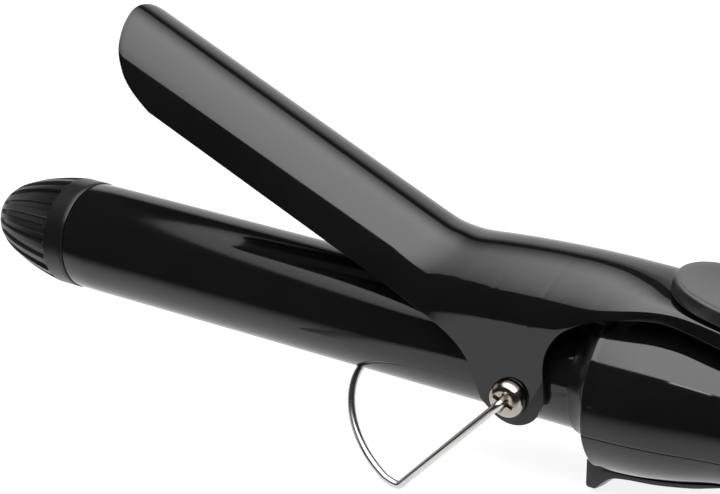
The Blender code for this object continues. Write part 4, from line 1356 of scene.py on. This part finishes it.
@dataclass
class Handle:
    """The collar, the two shells, the heel under them and the rear end.

    Attributes:
        collar_neck: Radius of the part of the collar that sits in the mouth.
        collar_key: Height of the ridge behind the mouth that holds the collar.
        parting: Height at which the two shells meet.
        seam: Half the gap between them.
        rim: Rounding along the gap.
        stations: The shells' outline, as distance behind the mouth and radius in millimetres.
        posts: Where the case screws' posts stand.
        well: How deep the screws' wells reach in from the skin.
        end_face: Radius of the end cap's flat rear face.
        end_brow: How far the end cap's curve starts below the shells' skin.
        proud: How far the swivel stands out of the end cap.
        heel_reach: How far below the axis the heel stands.
        heel_curve: The tongue's lower edge, as distance along and radius in millimetres.
    """

    barrel: float = 14.0 * MM
    collar_front: float = 14.2 * MM
    collar_body: float = 0.5 * MM
    collar_flare: float = 2.6 * MM
    collar_neck: float = 16.6 * MM
    collar_key: float = 1.1 * MM
    collar_seat: float = 3.0 * MM
    steps: int = 176
    front: float = 21.2 * MM
    rear: float = 130.0 * MM
    wall: float = 2.2 * MM
    parting: float = -5.9 * MM
    front_edge: float = 0.7 * MM
    rim: float = 0.16 * MM
    seam: float = 0.06 * MM
    stations: tuple[Point2, ...] = (
        (0.0, 21.3), (5.5, 21.0), (12.0, 20.4), (20.0, 19.1), (30.0, 17.0), (41.0, 15.9),
        (54.0, 15.6), (69.0, 16.4), (84.0, 17.9), (97.0, 18.8), (108.8, 18.5))
    posts: tuple[float, float] = (58.0 * MM, 113.0 * MM)
    post_radius: float = 3.6 * MM
    post_hole: float = 1.6 * MM
    well_radius: float = 2.9 * MM
    well: float = 3.2 * MM
    switch: tuple[float, float] = (83.4 * MM, 102.1 * MM)
    switch_half_width: float = 4.1 * MM
    lens: float = 75.0 * MM
    lens_radius: float = 2.5 * MM
    end_length: float = 8.0 * MM
    end_face: float = 14.6 * MM
    end_brow: float = 0.06 * MM
    end_wall: float = 4.4 * MM
    spigot: float = 6.0 * MM
    swivel: float = 7.8 * MM
    flange: float = 10.6 * MM
    flange_width: float = 1.8 * MM
    proud: float = 6.0 * MM
    bore: float = 3.6 * MM
    heel_half_width: float = 8.0 * MM
    heel_front: float = 16.7 * MM
    heel_toe: float = 2.3 * MM
    heel_top: float = 20.0 * MM
    heel_reach: float = 26.8 * MM
    heel_corner: float = 0.7 * MM
    heel_rounding: float = 0.35 * MM
    heel_curve: tuple[Point2, ...] = (
        (21.2, 24.6), (23.4, 23.1), (27.4, 22.3), (35, 21.5), (43.6, 19.9), (48, 18.7), (52, 17.5))

    def radius(self, x: float) -> float:
        """The handle's outer radius at a distance along the iron."""
        return station_value([(self.front + s * MM, r * MM) for s, r in self.stations], x)

    def collar(self) -> bmesh.types.BMesh:
        """The flared collar in the handle's mouth.

        Returns:
            Its mesh.
        """
        bore = self.barrel + GAP
        lip = bore + self.collar_body
        tail = self.front + self.wall + GAP
        reach = self.front - GAP - self.collar_front
        flare = [(self.collar_front + reach * s, lip + self.collar_flare * s ** 2.2)
                 for s in np.linspace(0.06, 1, 24)]
        lip_edge = [(self.collar_front, lip - 0.25 * MM),
                    (self.collar_front + 0.08 * MM, lip - 0.08 * MM)]
        neck, key, end = self.collar_neck, self.collar_neck + self.collar_key, tail + self.collar_seat
        profile = [(self.collar_front, bore)] + lip_edge + flare + [
            (self.front - GAP, neck), (tail, neck), (tail, key), (end, key), (end, bore)]
        return turned_mesh(profile, self.steps)

    def shell_sections(self) -> list[tuple[float, float, float]]:
        """The sections of the shells from the mouth to the rear.

        Returns:
            (x, outer radius, inner radius) of each.
        """
        mouth = self.collar_neck + GAP
        start = self.radius(self.front)
        edge = arc((self.front + self.front_edge, start - self.front_edge), self.front_edge,
                   180, 90, 6)
        behind = self.front + self.wall
        run = (self.front + self.front_edge + 0.2 * MM, behind - 0.01 * MM)
        sections = [(x, r, mouth) for x, r in edge]
        sections += [(x, self.radius(x), mouth) for x in run]
        for x in np.linspace(behind, self.rear, 72):
            sections.append((x, self.radius(x), self.radius(x) - self.wall))
        return sections

    def shell_ring(self, x: float, outer: float, inner: float,
                   upper: bool) -> list[tuple[float, float, float]]:
        """The closed section of one shell.

        Args:
            x: Where it lies.
            outer: Outer radius.
            inner: Inner radius.
            upper: Whether it is the upper shell's.

        Returns:
            Its points.
        """
        sign = 1 if upper else -1
        level = self.parting + sign * self.seam
        rings = []
        for radius, count in ((outer, 120), (inner, 40)):
            low = math.asin(level / radius)
            ends = (low, math.pi - low) if upper else (low, -math.pi - low)
            trim = sign * self.rim / radius
            turns = np.linspace(ends[0] + trim, ends[1] - trim, count)
            rings.append([(x, -radius * math.cos(t), radius * math.sin(t)) for t in turns])
        outside, inside = rings
        corner = math.sqrt(outer**2 - level**2)
        rim = []
        for side, near in ((-1, outside[0]), (1, outside[-1])):
            flat = (x, side * (corner - self.rim), level)
            tipped = (x, side * (corner - 0.3 * self.rim), level + sign * 0.22 * self.rim)
            rim.append([flat, tipped])
        return rim[0] + outside + rim[1][::-1] + inside[::-1]

    def shell(self, name: str, upper: bool, shop: Workshop) -> bpy.types.Object:
        """Builds one shell with its openings.

        Args:
            name: The piece's name.
            upper: Whether it is the upper one.
            shop: The workshop.

        Returns:
            The shell.
        """
        rings = [self.shell_ring(*section, upper) for section in self.shell_sections()]
        shell = mesh_object(name, grid_mesh(np.array(rings), capped=True), shop.iron)
        tools = []
        if upper:
            front, rear = self.switch
            inside, outside = 11 * MM, 26 * MM
            slot = prism_mesh([(front, inside), (rear, inside), (rear, outside), (front, outside)],
                              -self.switch_half_width, self.switch_half_width)
            tools = [slot, rod_mesh((self.lens, 0, 8 * MM), (self.lens, 0, 30 * MM),
                                    self.lens_radius)]
        else:
            cups = []
            for x in self.posts:
                skin = -self.radius(x)
                cups.append(rod_mesh((x, 0, skin + 1.2 * MM), (x, 0, -7 * MM), self.post_radius))
                tools.append(rod_mesh((x, 0, skin - 2 * MM), (x, 0, skin + self.well),
                                      self.well_radius))
                tools.append(rod_mesh((x, 0, skin + 2 * MM), (x, 0, -5 * MM), self.post_hole))
            shape_with(shell, "UNION", [mesh_object(f"{name}_cup_{k}", bm, shop.iron)
                                        for k, bm in enumerate(cups)])
        shape_with(shell, "DIFFERENCE", [mesh_object(f"{name}_tool_{k}", bm, shop.iron)
                                         for k, bm in enumerate(tools)])
        return shell

    def heel(self, shop: Workshop) -> bpy.types.Object:
        """Builds the heel: slices across the iron, each a profile wrapped round the axis.

        Args:
            shop: The workshop.

        Returns:
            The heel.
        """
        front = self.front - GAP
        tongue = smooth_path(in_mm(self.heel_curve), 8)
        rear = tongue[-1][0]
        seat = [(x, self.radius(x) + GAP) for x in np.linspace(rear, front, 40)[1:]]
        corner = self.heel_corner
        toe = arc((self.heel_front + corner, self.heel_reach - corner), corner, 180, 90, 4)
        toe += [(self.heel_front + self.heel_toe, self.heel_reach)]
        profile = [(self.heel_front, self.heel_top)] + toe + tongue + seat
        profile += [(front, self.heel_top)]
        loop = np.array(profile)
        slices = []
        for y in np.linspace(-self.heel_half_width, self.heel_half_width, 25):
            slices.append([(x, y, -math.sqrt(r * r - y * y)) for x, r in loop])
        heel = mesh_object("rest_heel_fine", grid_mesh(np.array(slices), capped=True), shop.iron)
        soften(heel, self.heel_rounding, 3, math.radians(55))
        return heel

    def rear_parts(self) -> tuple[list[Point2], list[Point2]]:
        """The profiles of the end cap and of the cord's swivel.

        Returns:
            The end cap's closed loop and the swivel's.
        """
        seam = self.rear + GAP
        rear = seam + self.end_length
        skin = self.radius(self.rear)
        spigot = skin - self.wall - GAP
        wall = rear - self.end_wall
        pocket, bore = self.flange + GAP, self.swivel + GAP
        brow = skin - self.end_brow
        crown = [(seam + self.end_length * math.sin(t),
                  self.end_face + (brow - self.end_face) * math.cos(t))
                 for t in np.linspace(0, math.pi / 2, 24)]
        cap = [(self.rear - self.spigot, pocket), (self.rear - self.spigot, spigot), (seam, spigot)]
        cap += [(seam, skin - 0.2 * MM)] + crown[1:] + [
            (rear, bore + 0.3 * MM), (rear - 0.3 * MM, bore), (wall, bore), (wall, pocket)]
        tail = rear + self.proud
        nose = arc((tail - 2 * MM, self.swivel - 2 * MM), 2 * MM, 90, 0, 8)
        lip = arc((tail - 0.8 * MM, self.bore + 0.8 * MM), 0.8 * MM, 0, -90, 5)
        behind = wall - GAP
        inner = behind - self.flange_width
        gland = [(inner, self.bore), (inner, self.flange), (behind, self.flange),
                 (behind, self.swivel)] + nose + lip
        return cap, gland

    def build(self, shop: Workshop) -> None:
        """Builds and dresses the handle's pieces.

        Args:
            shop: The workshop.
        """
        collar = mesh_object("heat_collar_fine", self.collar(), shop.iron)
        shop.add(collar, "iron", Finish.COLLAR, "satin", "heat_collar")
        for name, upper in (("handle_upper_shell", True), ("handle_lower_shell", False)):
            shell = self.shell(f"{name}_fine", upper, shop)
            shop.add(shell, "iron", Finish.SHELL, "gloss", name)
        shop.add(self.heel(shop), "iron", Finish.HEEL, "satin", "rest_heel")
        cap_loop, swivel_loop = self.rear_parts()
        cap = mesh_object("end_cap_fine", turned_mesh(cap_loop, self.steps), shop.iron)
        shop.add(cap, "iron", Finish.SHELL, "gloss", "end_cap")
        swivel = mesh_object("cord_swivel_fine", turned_mesh(swivel_loop, 96), shop.iron)
        shop.add(swivel, "swivel", Finish.GLAND, "satin", "cord_swivel")


# ---------------------------------------------------------------------------- carried over pieces

KEPT = {
    Finish.CERAMIC: ("ptc_heater", "insulator_ring"),
    Finish.ALUMINIUM: ("heat_spreader_upper", "heat_spreader_lower", "thermal_fuse"),
    Finish.STEEL: ("spreader_spring", "pivot_boss_left", "pivot_boss_right", "spring_seat",
                   "handle_screw_front", "handle_screw_rear", "pad_rivet_front",
                   "pad_rivet_rear", "swivel_retainer"),
    Finish.LEAD: ("heater_lead_left", "heater_lead_right"),
    Finish.BOARD: ("circuit_board",),
    Finish.MOULDING: ("switch_body",),
    Finish.GLAND: ("switch_button",),
    Finish.LENS: ("indicator_lens",),
}


def dress_kept_nodes(nodes: dict[str, bpy.types.Object], paint: Paintbox) -> None:
    """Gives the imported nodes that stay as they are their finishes.

    Args:
        nodes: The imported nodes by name.
        paint: The finishes.
    """
    for finish, names in KEPT.items():
        for name in names:
            paint.dress(nodes[name], finish)
            log.info("%s: kept, %s", name, finish.name.lower())


# ---------------------------------------------------------------------------- studio

def level_corners(area: Sequence[float], z: float) -> list[tuple[float, ...]]:
    """The corners of a level sheet over an area given as (left, right, front, rear)."""
    left, right, front, rear = area
    return [(left, front, z), (right, front, z), (right, rear, z), (left, rear, z)]


def upright_corners(start: Point2, end: Point2, low: float, high: float) -> list[tuple[float, ...]]:
    """The corners of an upright sheet that stands over a line between two points."""
    return [(*start, low), (*end, low), (*end, high), (*start, high)]


@dataclass
class Studio:
    """The floor, the white wall behind, the lights and the camera.

    Areas are (left, right, front, rear) in metres. A fade is the place where a sheet's light is
    lowest and the place where it is full, and its low value is the share that is left there.

    Attributes:
        azimuth: Turn of the camera from straight in front of the iron's side.
        elevation: Its height above the iron's own level.
        distance: From the point that it looks at.
        target: That point, in the iron's frame.
        floor_reach: Half the floor's width.
        card_fade: Fade of the white card that the gloss mirrors, from front to rear.
        patch: Area of the small card in front of it, which lights the near ear.
        wall_distance: How far behind the iron the wall stands.
        overhead: Area of the big light overhead.
        strip: Area of the bright strip in front of it.
        side_line: Foot of the dim side card, from front to rear.
        side_heights: Heights of its lower and upper edges.
    """

    azimuth: float = math.radians(34.4)
    elevation: float = math.radians(23.63)
    distance: float = 620.62 * MM
    target: tuple[float, float, float] = (-56 * MM, 0.0, 0.0)
    lens: float = 125.0
    sensor: float = 36.0
    shift: Point2 = (0.014583, 0.080556)
    air: float = 0.03
    floor_glow: float = 0.85
    floor_shade: float = 0.3
    floor_reach: float = 6.0
    card_glow: float = 1.1
    card_fade: Point2 = (-0.1, -0.035)
    card_low: float = 0.12
    patch: tuple[float, ...] = (-0.08, -0.008, -0.135, -0.04)
    patch_fade: Point2 = (-0.08, -0.06)
    patch_low: float = 0.25
    wall_distance: float = 0.6
    wall_height: float = 0.56
    wall_fade: Point2 = (0.5, 0.42)
    wall_low: float = 0.5
    wall_glow: float = 0.85
    overhead: tuple[float, ...] = (-0.375, 0.5, -0.53, 0.37)
    overhead_height: float = 0.5
    overhead_glow: float = 4.6
    overhead_fades: tuple[Point2, Point2] = ((-0.42, 0.0), (0.38, 0.06))
    overhead_low: float = 0.22
    strip: tuple[float, ...] = (0.06, 0.5, -0.57, -0.535)
    strip_glow: float = 8.0
    side_line: tuple[Point2, Point2] = ((-0.6, -0.3), (-0.6, 0.2))
    side_heights: Point2 = (0.1, 0.34)
    side_glow: float = 0.5

    def camera(self, shop: Workshop) -> None:
        """Stands the camera in its place.

        Args:
            shop: The workshop.
        """
        ca, sa = math.cos(self.azimuth), math.sin(self.azimuth)
        ce, se = math.cos(self.elevation), math.sin(self.elevation)
        back = Vector((sa * ce, -ca * ce, se))
        right = Vector((ca, sa, 0.0))
        up = Vector((-sa * se, ca * se, ce))
        turn = Matrix((right, up, back)).transposed().to_4x4()
        place = Matrix.Translation(Vector(self.target) + back * self.distance) @ turn
        data = bpy.data.cameras.new("camera")
        data.lens, data.sensor_width = self.lens, self.sensor
        data.shift_x, data.shift_y = self.shift
        data.clip_start, data.clip_end = 0.01, 50.0
        camera = bpy.data.objects.new("camera", data)
        bpy.context.scene.collection.objects.link(camera)
        camera.matrix_world = shop.iron @ place
        bpy.context.scene.camera = camera

    def sheet(self, name: str, corners: Sequence[Sequence[float]], glow: float,
              shade: float, seen: bool = True) -> bpy.types.Object:
        """A flat stage sheet, such as the floor, a wall or a card.

        Args:
            name: Its name.
            corners: Its four corners.
            glow: Light that it gives off.
            shade: Its grey.
            seen: Whether the camera sees it.

        Returns:
            The sheet.
        """
        mesh = bpy.data.meshes.new(name)
        mesh.from_pydata([tuple(c) for c in corners], [], [(0, 1, 2, 3)])
        made = bpy.data.objects.new(name, mesh)
        bpy.context.scene.collection.objects.link(made)
        graph = Graph(name)
        mesh.materials.append(graph.finish({
            "Base Color": (shade, shade, shade, 1.0), "Roughness": 0.9,
            "Specular IOR Level": 0.0, "Emission Color": (1.0, 1.0, 1.0, 1.0),
            "Emission Strength": glow}, {}))
        made.visible_camera = seen
        return made

    def graded(self, piece: bpy.types.Object, axis: str, fades: Sequence[Point2], low: float,
               glow: float) -> None:
        """Makes a sheet's light fall off across it.

        Args:
            piece: The sheet.
            axis: One letter for each fade.
            fades: For each axis, where the light is lowest and where it is full.
            low: Share of the light that is left at the lowest.
            glow: Light at its full.
        """
        graph = Graph(f"{piece.name}_light")
        share: Any = 1.0
        for letter, (empty, full) in zip(axis, fades):
            at = graph.node("ShaderNodeSeparateXYZ", {}, {"Vector": graph.place()}, letter)
            share = share * (at.step(empty, full) * (1 - low) + low)
        black, white = (0.0, 0.0, 0.0), (1.0, 1.0, 1.0)
        piece.data.materials[0] = graph.finish({
            "Base Color": (*black, 1.0), "Specular IOR Level": 0.0,
            "Emission Strength": glow}, {"Emission Color": graph.blend(share, black, white)})

    def light_above(self) -> None:
        """The big soft light overhead, which falls off to the front end and the rear, and a strip."""
        z = self.overhead_height
        made = self.sheet("overhead", level_corners(self.overhead, z), self.overhead_glow, 0.0, False)
        self.graded(made, "XY", self.overhead_fades, self.overhead_low, self.overhead_glow)
        self.sheet("strip", level_corners(self.strip, z), self.strip_glow, 0.0, False)

    def surround(self) -> None:
        """Pale paper all round, far off, that only the camera sees."""
        reach = self.floor_reach
        corners = [(-reach, -reach), (reach, -reach), (reach, reach), (-reach, reach)]
        for k, (start, end) in enumerate(zip(corners, corners[1:] + corners[:1])):
            paper = self.sheet(f"paper_{k}", upright_corners(start, end, 0.0, reach),
                               self.floor_glow, 0.0)
            paper.visible_glossy = paper.visible_diffuse = False

    def ground(self) -> None:
        """The floor, and the two white cards that the iron's gloss mirrors in its place."""
        reach = self.floor_reach
        floor = self.sheet("floor", level_corners((-reach, reach, -reach, reach), 0.0),
                           self.floor_glow, self.floor_shade)
        floor.visible_glossy = False
        card_area = (-reach, reach, self.card_fade[0], reach)
        for name, area, z, axis, fade, low in (
                ("card", card_area, -MM, "Y", self.card_fade, self.card_low),
                ("patch", self.patch, -MM / 2, "X", self.patch_fade, self.patch_low)):
            card = self.sheet(name, level_corners(area, z), self.card_glow, 0.0, False)
            card.visible_diffuse = False
            self.graded(card, axis, (fade,), low, self.card_glow)

    def walls(self) -> None:
        """The white wall behind and the dim card at the tip's end, which only light the iron."""
        reach, back = self.floor_reach, self.wall_distance
        wall = self.sheet("wall", upright_corners((-reach, back), (reach, back), 0.0,
                                                  self.wall_height), self.wall_glow, 0.0, False)
        self.graded(wall, "Z", (self.wall_fade,), self.wall_low, self.wall_glow)
        self.sheet("side_card", upright_corners(*self.side_line, *self.side_heights),
                   self.side_glow, 0.0, False)

    def build(self, shop: Workshop) -> None:
        """Builds the whole studio.

        Args:
            shop: The workshop.
        """
        world = bpy.data.worlds.new("studio")
        world.use_nodes = True
        air = world.node_tree.nodes["Background"].inputs["Color"]
        air.default_value = (self.air, self.air, self.air, 1.0)
        bpy.context.scene.world = world
        self.ground()
        self.walls()
        self.surround()
        self.light_above()
        bpy.context.scene.view_settings.view_transform = "Standard"
        self.camera(shop)
        log.info("studio: stands round the iron")


# ---------------------------------------------------------------------------- the whole iron


def main() -> None:
    """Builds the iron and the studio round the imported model."""
    logging.basicConfig(level=logging.INFO, format="%(name)s %(message)s")
    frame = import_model()
    pivot = Pivot()
    shop = find_workshop(frame, pivot.drop, OPEN_ANGLE)
    builders: list[Callable[[Workshop], None]] = [
        Barrel().build, Clamp().build, ThumbPad().build, pivot.build, Handle().build]
    for build in builders:
        build(shop)
    dress_kept_nodes(frame["nodes"], shop.paint)
    Studio().build(shop)


if __name__ == "__main__":
    main()
